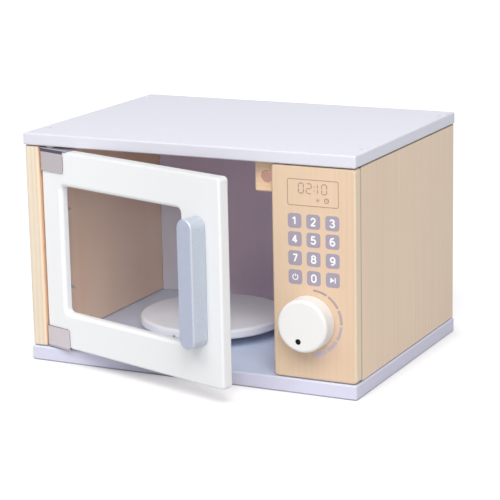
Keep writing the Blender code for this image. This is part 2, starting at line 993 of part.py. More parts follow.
for level, edge_z, up in (("top", door_top, 1), ("bottom", door_bottom, -1)):
    board = top_panel if up > 0 else base_panel
    board_face = top_underside if up > 0 else base_thickness
    outer_z = edge_z + up * clip_reach
    inner_z = edge_z - up * clip_height
    clip_low = (door_left - clip_reach, door_front - clip_reach, min(outer_z, inner_z))
    clip_high = (door_left + clip_length, door_back + clip_reach, max(outer_z, inner_z))
    clip_mesh, clip_centre = box_mesh("hinge_clip_" + level, clip_low, clip_high)
    bevel_edges(clip_mesh, clip_bend_radius, upright_on_left)
    clip = bpy.data.objects.new("hinge_clip_" + level, clip_mesh)
    clip.location = clip_centre
    link(clip, nickel, door_axis)
    lip_z = inner_z - up * cut_overrun
    room_low = (door_left - seat_gap, door_front - seat_gap, min(edge_z + up * seat_gap, lip_z))
    room_high = (
        door_left + clip_length + cut_overrun,
        door_back + seat_gap,
        max(edge_z + up * seat_gap, lip_z),
    )
    room_radius = clip_bend_radius - clip_sheet
    cut(clip, box_cutter("clip_room_" + level, room_low, room_high, door_axis, room_radius))

    pin_start = edge_z - up * pin_root
    pin_end = board_face + up * (bush_length - pin_end_gap)
    pin_length = abs(pin_end - pin_start)
    pin_low = min(pin_start, pin_end)
    make_turned(
        "pivot_pin_" + level,
        pin_profile(pin_radius, pin_length),
        (0, 0, pin_low),
        zinc,
        door_axis,
    )
    for target in (door_frame, clip):
        hole_start = (0, 0, pin_low - seat_gap)
        hole_length = pin_length + 2 * seat_gap
        cut(target, round_cutter("pin_hole", pin_radius + seat_gap, hole_start, hole_length, "Z", door_axis))

    bore = pin_radius + running_gap
    bush_radius = bore + bush_wall
    flange_outer = seat_gap + bush_flange_thickness
    bush_profile = [
        (bore, bush_length),
        (bush_radius, bush_length),
        (bush_radius, -seat_gap),
        (bush_flange_radius, -seat_gap),
        (bush_flange_radius, -flange_outer),
        (bore, -flange_outer),
        (bore, bush_length),
    ]
    bush = make_turned("pivot_bush_" + level, bush_profile, (pivot_x, pivot_y, board_face), white_nylon, None)
    if up < 0:
        bush.rotation_euler = (math.pi, 0, 0)
    pocket_length = bush_length + seat_gap
    pocket_start = board_face - cut_overrun if up > 0 else board_face - pocket_length
    cut(
        board,
        round_cutter(
            "bush_pocket",
            bush_radius + seat_gap,
            (pivot_x, pivot_y, pocket_start),
            pocket_length + cut_overrun,
            "Z",
            None,
        ),
    )

    clip_screw_x = door_left + clip_length / 2 + clip_reach
    clip_screw_z = edge_z - up * clip_height / 2
    clip_screw_seat = door_back + clip_reach + clip_screw_head_height
    for end in (-1, 1):
        x = clip_screw_x + end * clip_screw_spacing / 2
        clip_screw_places.append((x, clip_screw_seat, clip_screw_z))
        hole_start = (x, clip_screw_seat - clip_screw_length - seat_gap, clip_screw_z)
        for target in (door_frame, clip):
            hole_radius = clip_screw_radius + seat_gap
            hole_length = clip_screw_length + cut_overrun
            cut(target, round_cutter("clip_screw_hole", hole_radius, hole_start, hole_length, "Y", door_axis))

make_copies(
    "hinge_clip_screw",
    clip_screw_mesh,
    [place(spot, "back") for spot in clip_screw_places],
    zinc,
    door_axis,
)


# Catch block with its magnet, and the strike plate let into the door's back

catch_block = make_board(
    "catch_block",
    (catch_left, catch_front, catch_bottom),
    (catch_right, catch_front + catch_block_depth, board_top),
    natural_wood,
    catch_block_edge_radius,
    None,
)
magnet_depth = magnet_recess + magnet_thickness
cut(
    catch_block,
    round_cutter(
        "magnet_hole",
        magnet_radius + seat_gap,
        (magnet_x, catch_front - cut_overrun, magnet_z),
        magnet_depth + seat_gap + cut_overrun,
        "Y",
        None,
    ),
)
make_turned(
    "catch_magnet",
    pin_profile(magnet_radius, magnet_thickness),
    (magnet_x, catch_front + magnet_depth, magnet_z),
    nickel,
    None,
    "Y",
)

strike_right = door_right - strike_edge_distance
strike_x = strike_right - strike_width / 2
strike_low = (strike_right - strike_width, door_back - strike_thickness, magnet_z - strike_height / 2)
strike_high = (strike_right, door_back, magnet_z + strike_height / 2)
strike_mesh, strike_centre = box_mesh("strike_plate", strike_low, strike_high)
strike_plate = bpy.data.objects.new("strike_plate", strike_mesh)
strike_plate.location = strike_centre
link(strike_plate, zinc, door_axis)
pocket_low = [low - seat_gap for low in strike_low]
pocket_high = [high + seat_gap for high in strike_high]
pocket_high[1] = door_back + cut_overrun
cut(door_frame, box_cutter("strike_pocket", pocket_low, pocket_high, door_axis))

strike_screw_mesh = turned_mesh(
    "strike_screw",
    [
        (0, 0),
        (strike_screw_head_radius, 0),
        (strike_screw_radius, -strike_screw_head_height),
        (strike_screw_radius, -strike_screw_length + strike_screw_radius),
        (0, -strike_screw_length),
    ],
    small_steps,
)
strike_screw = bpy.data.objects.new("strike_screw", strike_screw_mesh)
link(strike_screw, zinc, door_axis)
strike_screw.matrix_local = place((strike_x, door_back, magnet_z), "back")
sink_profile = [
    (0, cut_overrun),
    (strike_screw_head_radius + seat_gap, cut_overrun),
    (strike_screw_head_radius + seat_gap, 0),
    (strike_screw_radius + seat_gap, -strike_screw_head_height - seat_gap),
    (strike_screw_radius + seat_gap, -strike_screw_length - seat_gap),
    (0, -strike_screw_length - seat_gap),
]
strike_hole = bpy.data.objects.new("strike_hole", turned_mesh("strike_hole", sink_profile, small_steps))
link_cutter(strike_hole, door_axis)
strike_hole.matrix_local = place((strike_x, door_back, magnet_z), "back")
for target in (strike_plate, door_frame):
    cut(target, strike_hole)


# Turntable, turning about Z on its bolt

table_axis = make_pivot("table_axis", (table_x, table_y, 0))
disc_top = disc_bottom + disc_thickness
disc_rim_x = disc_radius - disc_edge_radius
upper_rim = (disc_rim_x, disc_top - disc_edge_radius)
lower_rim = (disc_rim_x, disc_bottom + disc_edge_radius)
turntable_disc = make_turned(
    "turntable_disc",
    [
        (0, disc_top),
        *arc_points(upper_rim, disc_edge_radius, math.pi / 2, 0, arc_steps),
        *arc_points(lower_rim, disc_edge_radius, 0, -math.pi / 2, arc_steps),
        (0, disc_bottom),
    ],
    (0, 0, 0),
    disc_paint,
    table_axis,
    "Z",
    round_steps,
)

table_bolt_end = disc_bottom + table_bolt_grip
table_head_top = table_bolt_sink + table_bolt_head_height
make_turned(
    "turntable_bolt",
    [
        (0, table_bolt_end),
        (table_bolt_radius, table_bolt_end),
        (table_bolt_radius, table_head_top),
        (table_bolt_head_radius, table_head_top),
        (table_bolt_head_radius, table_bolt_sink),
        (0, table_bolt_sink),
    ],
    (0, 0, 0),
    zinc,
    table_axis,
)
cut(
    turntable_disc,
    round_cutter(
        "disc_bolt_hole",
        table_bolt_radius + seat_gap,
        (0, 0, disc_bottom - cut_overrun),
        table_bolt_grip + seat_gap + cut_overrun,
        "Z",
        table_axis,
    ),
)

table_bore = table_bolt_radius + running_gap
slip_washer_bottom = disc_bottom - seat_gap - slip_washer_thickness
spacer_bottom = base_thickness + seat_gap
spacer_height = slip_washer_bottom - seat_gap - spacer_bottom
make_turned(
    "turntable_slip_washer",
    ring_profile(slip_washer_radius, table_bore, slip_washer_thickness),
    (table_x, table_y, slip_washer_bottom),
    white_nylon,
    None,
)
make_turned(
    "turntable_spacer",
    ring_profile(spacer_radius, table_bore, spacer_height),
    (table_x, table_y, spacer_bottom),
    natural_wood,
    None,
    "Z",
    round_steps // 2,
)
table_washer_bottom = table_head_top + seat_gap
make_turned(
    "turntable_retaining_washer",
    ring_profile(table_washer_radius, table_bore, table_washer_thickness),
    (table_x, table_y, table_washer_bottom),
    zinc,
    None,
)
table_pocket_depth = table_washer_bottom + table_washer_thickness + seat_gap
cut(
    base_panel,
    round_cutter(
        "table_pocket",
        table_washer_radius + seat_gap,
        (table_x, table_y, -cut_overrun),
        table_pocket_depth + cut_overrun,
        "Z",
        None,
    ),
)
cut(
    base_panel,
    round_cutter(
        "table_bolt_hole",
        table_bore,
        (table_x, table_y, -cut_overrun),
        base_thickness + 2 * cut_overrun,
        "Z",
        None,
    ),
)


# All cuts, one Boolean for each piece

for piece_name in list(planned_cuts):
    make_cuts(bpy.data.objects[piece_name])
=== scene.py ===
"""The looks of a wooden toy microwave: boards, window door, printed control panel, knob and turntable.

Lengths are metres, +Z is up, +X is to the right and the door faces -Y. Places are read from the frame.
"""

import json
import logging
import math
from dataclasses import dataclass, field
from enum import Enum
from typing import Mapping, Optional, Sequence, Union

import bpy
import numpy as np
from mathutils import Matrix, Vector
from mathutils.geometry import tessellate_polygon


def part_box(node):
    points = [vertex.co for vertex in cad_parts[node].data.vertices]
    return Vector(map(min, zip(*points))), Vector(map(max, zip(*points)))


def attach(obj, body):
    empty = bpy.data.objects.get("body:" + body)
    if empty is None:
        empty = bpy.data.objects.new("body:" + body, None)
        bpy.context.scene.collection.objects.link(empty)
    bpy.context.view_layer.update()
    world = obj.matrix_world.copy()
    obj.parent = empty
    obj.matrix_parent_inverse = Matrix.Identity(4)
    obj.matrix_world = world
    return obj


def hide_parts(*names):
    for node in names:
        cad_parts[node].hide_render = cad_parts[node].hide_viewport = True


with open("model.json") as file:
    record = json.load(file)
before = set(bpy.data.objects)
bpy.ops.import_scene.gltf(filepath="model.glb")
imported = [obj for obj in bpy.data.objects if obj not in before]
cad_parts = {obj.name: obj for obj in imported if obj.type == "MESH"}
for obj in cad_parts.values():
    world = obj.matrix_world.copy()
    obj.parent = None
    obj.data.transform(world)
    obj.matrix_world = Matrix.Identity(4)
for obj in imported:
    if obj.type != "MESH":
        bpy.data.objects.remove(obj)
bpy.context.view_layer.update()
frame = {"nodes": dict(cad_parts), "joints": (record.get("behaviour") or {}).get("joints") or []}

Array = np.ndarray
Colour = tuple[float, float, float]
Pair = tuple[float, float]
Radii = Union[float, Sequence[float]]

log = logging.getLogger("toy_microwave")

MM = 0.001
CLOSE = 1e-9
PAST_EDGE = 1.01
NOISE_SPREAD = 1.6


class Facing(Enum):
    """The side that a piece's main face looks to, as its across, along and outward directions."""

    UP = ((1, 0, 0), (0, 1, 0), (0, 0, 1))
    DOWN = ((1, 0, 0), (0, -1, 0), (0, 0, -1))
    FRONT = ((1, 0, 0), (0, 0, 1), (0, -1, 0))
    BACK = ((-1, 0, 0), (0, 0, 1), (0, 1, 0))
    RIGHT = ((0, 1, 0), (0, 0, 1), (1, 0, 0))
    LEFT = ((0, -1, 0), (0, 0, 1), (-1, 0, 0))

    def outward(self) -> Colour:
        """The direction that the main face looks in."""
        return self.value[2]


@dataclass(frozen=True)
class Placement:
    """Where a piece lies: the point under its local zero and its three local directions, one in each row."""

    origin: Array
    axes: Array

    def to_frame(self, points: Array) -> Array:
        """Local points as points of the frame."""
        return points @ self.axes + self.origin

    def to_local(self, point: Sequence[float]) -> Array:
        """A point of the frame in local lengths."""
        return (np.asarray(point, float) - self.origin) @ self.axes.T

    def moved(self, across: float = 0.0, along: float = 0.0, out: float = 0.0) -> "Placement":
        """The same directions from another local zero.

        Args:
            across: How far it moves along the first direction.
            along: How far it moves along the second.
            out: How far it moves outwards.

        Returns:
            The moved placement.
        """
        return Placement(self.origin + np.array([across, along, out]) @ self.axes, self.axes)


@dataclass(frozen=True)
class Stock:
    """The block that a node fills, with its main face's middle as local zero."""

    node: str
    place: Placement
    width: float
    height: float
    depth: float


@dataclass(frozen=True)
class Space:
    """The directions that a body's pieces are measured in: a pivot, and a turn about Z."""

    pivot: tuple[float, float, float] = (0.0, 0.0, 0.0)
    turn: float = 0.0

    def rotation(self) -> Array:
        """The body's own directions, one in each row."""
        cos, sin = math.cos(self.turn), math.sin(self.turn)
        return np.array([[cos, sin, 0.0], [-sin, cos, 0.0], [0.0, 0.0, 1.0]])

    def box(self, node: str) -> tuple[Array, Array]:
        """A node's lowest and highest corner, measured along the body's own directions.

        Args:
            node: The node's name.

        Returns:
            The two corners, from the pivot.
        """
        mesh = frame["nodes"][node].data
        points = np.empty(len(mesh.vertices) * 3, np.float32)
        mesh.vertices.foreach_get("co", points)
        local = (points.reshape(-1, 3).astype(float) - np.array(self.pivot)) @ self.rotation().T
        return local.min(axis=0), local.max(axis=0)

    def stock(self, node: str, facing: Facing) -> Stock:
        """The block that a node fills, seen from one side.

        Args:
            node: The node's name.
            facing: The side that its main face looks to.

        Returns:
            The block, its local zero at the middle of that face.
        """
        low, high = self.box(node)
        across, along, out = np.array(facing.value, float)
        middle, size = (low + high) / 2, high - low
        width, height, depth = (float(abs(side) @ size) for side in (across, along, out))
        face = middle + out * depth / 2
        turned = self.rotation()
        place = Placement(face @ turned + np.array(self.pivot), np.array([across, along, out]) @ turned)
        return Stock(node, place, width, height, depth)


def unit(vectors: Array) -> Array:
    """Vectors scaled to length one."""
    return vectors / np.linalg.norm(vectors, axis=-1, keepdims=True)


def ways(points: Array) -> tuple[Array, Array]:
    """The unit directions into and out of each point of a loop."""
    return unit(points - np.roll(points, 1, axis=0)), unit(np.roll(points, -1, axis=0) - points)


def bends(into: Array, out: Array) -> Array:
    """The angles between directions in and out, more than 0 to the left."""
    return np.arctan2(into[:, 0] * out[:, 1] - into[:, 1] * out[:, 0], (into * out).sum(axis=1))


def direction(azimuth: float, elevation: float) -> Vector:
    """The way out from the toy: azimuth 0 is straight ahead of it, and grows to the right."""
    level = math.cos(elevation)
    return Vector((math.sin(azimuth) * level, -math.cos(azimuth) * level, math.sin(elevation)))


def numbered(stem: str, count: int) -> list[str]:
    """The names of nodes that are numbered from 1 on."""
    return [f"{stem}_{number}" for number in range(1, count + 1)]


def added(name: str, data: bpy.types.ID) -> bpy.types.Object:
    """Put a new object in the scene.

    Args:
        name: Its name.
        data: Its mesh, lamp or camera.

    Returns:
        The object, at the frame's zero.
    """
    item = bpy.data.objects.new(name, data)
    bpy.context.scene.collection.objects.link(item)
    return item


def fillet(corners: Sequence[Pair], radii: Radii, steps: int, closed: bool) -> tuple[Array, Array]:
    """A polyline with round corners.

    An arc of radius r that turns by the angle a begins r * tan(a / 2) before its corner. A share s of it lies
    at r * sin(s * a) along the incoming direction and r * (1 - cos(s * a)) to the side that it turns to.

    Args:
        corners: The corners, in order.
        radii: One radius, or one for each corner.
        steps: How many steps an arc has.
        closed: Whether the last corner joins the first.

    Returns:
        The points, and the unit directions of travel at them.
    """
    at = np.asarray(corners, float)
    into, out = ways(at)
    turn = bends(into, out)
    radius = np.broadcast_to(np.asarray(radii, float), turn.shape)
    part = turn[:, None] * np.linspace(0.0, 1.0, steps + 1)
    left = np.stack([-into[:, 1], into[:, 0]], axis=1)
    start = at - into * (radius * np.tan(np.abs(turn) / 2))[:, None]
    ahead = (radius[:, None] * np.sin(np.abs(part)))[..., None] * into[:, None]
    aside = (np.sign(turn)[:, None] * radius[:, None] * (1 - np.cos(part)))[..., None] * left[:, None]
    points = start[:, None] + ahead + aside
    along = np.cos(part)[..., None] * into[:, None] + np.sin(part)[..., None] * left[:, None]
    if closed:
        points, along = points.reshape(-1, 2), along.reshape(-1, 2)
    else:
        points = np.concatenate([at[:1], points[1:-1].reshape(-1, 2), at[-1:]])
        along = np.concatenate([out[:1], along[1:-1].reshape(-1, 2), into[-1:]])
    far = np.linalg.norm(points - np.roll(points, 1, axis=0), axis=1) > CLOSE
    return points[far], along[far]


@dataclass(frozen=True)
class Outline:
    """A closed outline, anticlockwise: its points and the outward unit directions at them."""

    points: Array
    normals: Array

    @classmethod
    def polygon(cls, corners: Sequence[Pair], radii: Radii, steps: int = 8) -> "Outline":
        """An outline with round corners; outward is to the right of travel.

        Args:
            corners: The corners, anticlockwise.
            radii: One radius for all corners, or one for each.
            steps: How many steps an arc has.

        Returns:
            The outline.
        """
        points, along = fillet(corners, radii, steps, closed=True)
        return cls(points, np.stack([along[:, 1], -along[:, 0]], axis=1))

    @classmethod
    def box(cls, low: Sequence[float], high: Sequence[float], radii: Radii, steps: int = 8) -> "Outline":
        """A rectangle between two corners, with round corners from the lower left on."""
        corners = [tuple(low), (high[0], low[1]), tuple(high), (low[0], high[1])]
        return cls.polygon(corners, radii, steps)

    @classmethod
    def about(cls, width: float, height: float, radius: float, steps: int = 8) -> "Outline":
        """A rectangle about zero, with round corners."""
        return cls.box((-width / 2, -height / 2), (width / 2, height / 2), radius, steps)

    @classmethod
    def circle(cls, radius: float, centre: Sequence[float] = (0.0, 0.0), steps: int = 96) -> "Outline":
        """A circle: its points lie a radius from the centre along the outward directions.

        Args:
            radius: The radius.
            centre: The centre's first two lengths.
            steps: How many points it has.

        Returns:
            The outline.
        """
        angle = np.arange(steps) * (math.tau / steps)
        normals = np.stack([np.cos(angle), np.sin(angle)], axis=1)
        return cls(np.array(centre[:2]) + radius * normals, normals)

    @classmethod
    def axis(cls, steps: int) -> "Outline":
        """An axis to turn a section about: a circle with no radius."""
        return cls.circle(0.0, steps=steps)


@dataclass(frozen=True)
class Section:
    """A wall's section: distances out and up from an outline, and which way the wall faces there."""

    out: Array
    up: Array
    facing: Array

    @classmethod
    def path(cls, corners: Sequence[Pair], radii: Radii, steps: int = 5, closed: bool = False) -> "Section":
        """A section along a polyline with round corners, which faces to the left of travel.

        Args:
            corners: The distances (out, up), in order.
            radii: One radius for all corners, or one for each.
            steps: How many steps an arc has.
            closed: Whether the last corner joins the first.

        Returns:
            The section.
        """
        points, along = fillet(corners, radii, steps, closed)
        return cls(points[:, 0], points[:, 1], np.stack([-along[:, 1], along[:, 0]], axis=1))

    @classmethod
    def rim(cls, depth: float, front_edge: float, back_edge: float, steps: int = 6) -> "Section":
        """A plate's rim: off the main face, down the side and under to the back face.

        Args:
            depth: The plate's thickness.
            front_edge: The radius of its main face's edge.
            back_edge: The radius of its back face's edge.
            steps: How many steps an edge has.

        Returns:
            The section.
        """
        first, last = -PAST_EDGE * front_edge, -PAST_EDGE * back_edge
        corners = [(first, 0.0), (0.0, 0.0), (0.0, -depth), (last, -depth)]
        return cls.path(corners, (0.0, front_edge, back_edge, 0.0), steps)

    @classmethod
    def riser(cls, bottom: float, lower: float, top: float, upper: float) -> "Section":
        """A hole's wall from bottom to top, rounded at both; a radius below 0 turns inwards there."""
        corners = [(2 * lower, bottom), (0.0, bottom), (0.0, top), (2 * upper, top)]
        return cls.path(corners, (0.0, abs(lower), abs(upper), 0.0), steps=3)

    def part(self, first: int, last: int) -> "Section":
        """The section between two of its points."""
        return Section(self.out[first:last], self.up[first:last], self.facing[first:last])


class Shell:
    """A closed surface in the making: its points, the directions that they face, and its faces."""

    def __init__(self) -> None:
        """Start with no points."""
        self._points: list[Array] = []
        self._normals: list[Array] = []
        self._faces: list[list[int]] = []
        self._count = 0

    def add(self, points: Array, normals: Array) -> Array:
        """Add points with the directions that they face.

        Args:
            points: The points, in any number of rows of three.
            normals: The directions, in the same form.

        Returns:
            The points' numbers, in that form without the last axis.
        """
        self._points.append(points.reshape(-1, 3))
        self._normals.append(np.broadcast_to(normals, points.shape).reshape(-1, 3))
        first, self._count = self._count, self._count + points[..., 0].size
        return np.arange(first, self._count).reshape(points.shape[:-1])

    def grid(self, index: Array, around: bool, onward: bool = False) -> None:
        """Join a grid of points with four-sided faces.

        Args:
            index: The points' numbers, loops in the first axis and sections in the second.
            around: Whether the last loop joins the first.
            onward: Whether a section's last point joins its first.
        """
        ahead = np.roll(index, -1, axis=0)
        first, second = (index, ahead) if around else (index[:-1], ahead[:-1])
        first_next, second_next = np.roll(first, -1, axis=1), np.roll(second, -1, axis=1)
        faces = np.stack([first, first_next, second_next, second], axis=-1)
        self._faces += (faces if onward else faces[:, :-1]).reshape(-1, 4).tolist()

    def wall(self, outline: Outline, section: Section, closed: bool = False) -> tuple[Array, Array]:
        """Carry a section round an outline: point = outline + out * outward, at the height up.

        Args:
            outline: The outline that the wall follows.
            section: The wall's section.
            closed: Whether the section closes on itself, as a ring's does.

        Returns:
            The numbers of the points of the section's first loop and of its last.
        """
        flat = outline.points[:, None] + outline.normals[:, None] * section.out[:, None]
        up = np.broadcast_to(section.up, flat.shape[:2])
        side = outline.normals[:, None] * section.facing[:, :1]
        rise = np.broadcast_to(section.facing[:, 1], flat.shape[:2])
        index = self.add(
            np.concatenate([flat, up[..., None]], axis=-1),
            np.concatenate([side, rise[..., None]], axis=-1),
        )
        self.grid(index, around=True, onward=closed)
        return index[:, 0], index[:, -1]

    def cap(self, *loops: Array, up: bool = True) -> None:
        """Fill the flat face between loops of points.

        Args:
            loops: The numbers of the outer loop's points, and of each hole's.
            up: Whether the face looks up.
        """
        points = np.concatenate(self._points)
        flat = np.concatenate(loops)
        lines = [[(x, y, 0.0) for x, y in (points[loop, :2] / MM).tolist()] for loop in loops]
        faces = np.array(tessellate_polygon(lines))
        corner = points[flat[faces], :2]
        first, second = corner[:, 1] - corner[:, 0], corner[:, 2] - corner[:, 0]
        anticlockwise = first[:, 0] * second[:, 1] - first[:, 1] * second[:, 0] > 0
        faces = np.where((anticlockwise == up)[:, None], faces, faces[:, ::-1])
        self._faces += flat[faces].tolist()

    def pole(self, loop: Array, height: float, up: bool) -> None:
        """Close a turned end with a fan to a point on the axis.

        Args:
            loop: The numbers of the end loop's points.
            height: The height of the point.
            up: Whether the end looks up.
        """
        tip = self.add(np.array([[0.0, 0.0, height]]), np.array([[0.0, 0.0, 1.0 if up else -1.0]]))
        ahead = np.roll(loop, -1)
        order = (loop, ahead) if up else (ahead, loop)
        self._faces += np.stack([np.broadcast_to(tip, loop.shape), *order], axis=1).tolist()

    def end(self, loop: Array) -> None:
        """Close a small end with one face, anticlockwise as it is seen from outside."""
        self._faces.append(loop.tolist())

    def piece(self, name: str, place: Placement, smooth: bool = True) -> bpy.types.Object:
        """Make the object, its place in its mesh.

        Args:
            name: The piece's name.
            place: Where it lies.
            smooth: Whether it is shaded with the directions that its points face.

        Returns:
            The object, at the frame's zero.
        """
        mesh = bpy.data.meshes.new(name)
        points = place.to_frame(np.concatenate(self._points))
        mesh.from_pydata(points.tolist(), [], self._faces, shade_flat=not smooth)
        if smooth:
            normals = unit(np.concatenate(self._normals)) @ place.axes
            mesh.normals_split_custom_set_from_vertices(normals.tolist())
        mesh.validate()
        return added(name, mesh)


@dataclass(frozen=True)
class Hole:
    """A hole in a slab: its outline, its wall's section, and which of the slab's faces it opens on."""

    outline: Outline
    section: Section
    from_back: bool
    to_front: bool

    @classmethod
    def blind(cls, outline: Outline, depth: float, edge: float, floor: float) -> "Hole":
        """A hole in the main face that ends on a floor."""
        return cls(outline, Section.riser(-depth, -floor, 0.0, edge), False, True)

    @classmethod
    def through(cls, outline: Outline, depth: float, edge: float) -> "Hole":
        """A hole from one face to the other."""
        return cls(outline, Section.riser(-depth, edge, 0.0, edge), True, True)

    @classmethod
    def from_behind(cls, outline: Outline, slab: float, depth: float, edge: float, floor: float) -> "Hole":
        """A hole in the slab's back face that ends on a ceiling."""
        return cls(outline, Section.riser(-slab, edge, depth - slab, -floor), True, False)

    def cut(self, shell: Shell, fronts: list[Array], backs: list[Array]) -> None:
        """Put the hole's wall and its closed end into a shell.

        Args:
            shell: The shell.
            fronts: The loops of its main face, which the hole's mouth there joins.
            backs: The loops of its back face.
        """
        first, last = shell.wall(self.outline, self.section)
        if self.from_back:
            backs.append(first)
        else:
            shell.cap(first, up=True)
        if self.to_front:
            fronts.append(last)
        else:
            shell.cap(last, up=False)


def slab(outline: Outline, depth: float, edges: Pair, holes: Sequence[Hole] = ()) -> Shell:
    """A plate with rounded edges: its wall leaves the main face, turns down the side and under to the back.

    Args:
        outline: The plate's outline.
        depth: Its thickness.
        edges: The radii of its main face's edge and its back face's.
        holes: The holes in it.

    Returns:
        The shell, its main face at height 0.
    """
    shell = Shell()
    front, back = shell.wall(outline, Section.rim(depth, *edges))
    fronts, backs = [front], [back]
    for hole in holes:
        hole.cut(shell, fronts, backs)
    shell.cap(*fronts, up=True)
    shell.cap(*backs, up=False)
    return shell


def plate(stock: Stock, corner: float, edges: Pair, holes: Sequence[Hole] = (), steps: int = 8) -> Shell:
    """A slab that fills a block, its outline's corners rounded."""
    return slab(Outline.about(stock.width, stock.height, corner, steps), stock.depth, edges, holes)


def turned(corners: Sequence[Pair], radii: Radii, steps: int = 48, arc: int = 4) -> Shell:
    """A solid turned about the outward axis, from a section that runs from its top's middle to its bottom's.

    Args:
        corners: The radius and height of each corner, the first and the last on the axis.
        radii: One radius for all corners, or one for each.
        steps: How many steps a turn has.
        arc: How many steps a corner has.

    Returns:
        The shell.
    """
    shell = Shell()
    top, bottom = shell.wall(Outline.axis(steps), Section.path(corners, radii, arc).part(1, -1))
    shell.pole(top, corners[0][1], up=True)
    shell.pole(bottom, corners[-1][1], up=False)
    return shell


def ring(corners: Sequence[Pair], radii: Radii, steps: int = 48, arc: int = 3) -> Shell:
    """A ring turned about the outward axis, from a closed section that runs down its outer side.

    Args:
        corners: The radius and height of each corner.
        radii: One radius for all corners, or one for each.
        steps: How many steps a turn has.
        arc: How many steps a corner has.

    Returns:
        The shell.
    """
    shell = Shell()
    shell.wall(Outline.axis(steps), Section.path(corners, radii, arc, closed=True), closed=True)
    return shell


def drum(radius: float, depth: float, edge: float, proud: float = 0.0) -> Shell:
    """A round bar with softened ends, its upper face at the height proud."""
    corners = [(0.0, proud), (radius, proud), (radius, -depth), (0.0, -depth)]
    return turned(corners, (0.0, edge, edge, 0.0))


def washer(outer: float, inner: float, depth: float, edge: float) -> Shell:
    """A flat ring with softened edges, its upper face at height 0."""
    return ring([(inner, 0.0), (outer, 0.0), (outer, -depth), (inner, -depth)], edge)


class Signal:
    """A node's output that takes part in Python sums; each operation adds one Math node."""

    def __init__(self, graph: "Graph", socket: bpy.types.NodeSocket) -> None:
        """Hold an output of a node.

        Args:
            graph: The graph that the node is in.
            socket: The output.
        """
        self.graph = graph
        self.socket = socket

    def _math(self, operation: str, *values: "Term", clamp: bool = False) -> "Signal":
        """Add a Math node.

        Args:
            operation: What it does.
            values: What it does it to.
            clamp: Whether the outcome is kept between 0 and 1.

        Returns:
            The outcome.
        """
        sockets = dict(enumerate(values))
        settings = {"operation": operation, "use_clamp": clamp}
        return Signal(self.graph, self.graph.node("ShaderNodeMath", settings, sockets).outputs[0])

    def __add__(self, other: "Term") -> "Signal":
        """The sum."""
        return self._math("ADD", self, other)

    __radd__ = __add__

    def __sub__(self, other: "Term") -> "Signal":
        """The difference."""
        return self._math("SUBTRACT", self, other)

    def __rsub__(self, other: "Term") -> "Signal":
        """The difference, from a number."""
        return self._math("SUBTRACT", other, self)

    def __mul__(self, other: "Term") -> "Signal":
        """The product."""
        return self._math("MULTIPLY", self, other)

    __rmul__ = __mul__

    def __truediv__(self, other: "Term") -> "Signal":
        """The quotient."""
        return self._math("DIVIDE", self, other)

    def __pow__(self, other: "Term") -> "Signal":
        """The power."""
        return self._math("POWER", self, other)

    def fraction(self) -> "Signal":
        """What is left over whole numbers."""
        return self._math("FRACT", self)

    def root(self) -> "Signal":
        """The square root."""
        return self._math("SQRT", self)

    def size(self) -> "Signal":
        """The value without its sign."""
        return self._math("ABSOLUTE", self)

    def clamped(self) -> "Signal":
        """The value kept between 0 and 1."""
        return self._math("ADD", self, 0.0, clamp=True)

    def above(self, low: float, high: float) -> "Signal":
        """A soft step.

        Args:
            low: Where it leaves 0.
            high: Where it reaches 1.

        Returns:
            The step.
        """
        sockets = {"Value": self, "From Min": low, "From Max": high}
        node = self.graph.node("ShaderNodeMapRange", {"interpolation_type": "SMOOTHSTEP"}, sockets)
        return Signal(self.graph, node.outputs[0])


Term = Union[Signal, float]
Feed = Union[Signal, float, Sequence[float]]
Feeds = Mapping[Union[str, int], Feed]
Paint = Union[Signal, Colour]
Settings = Mapping[str, object]


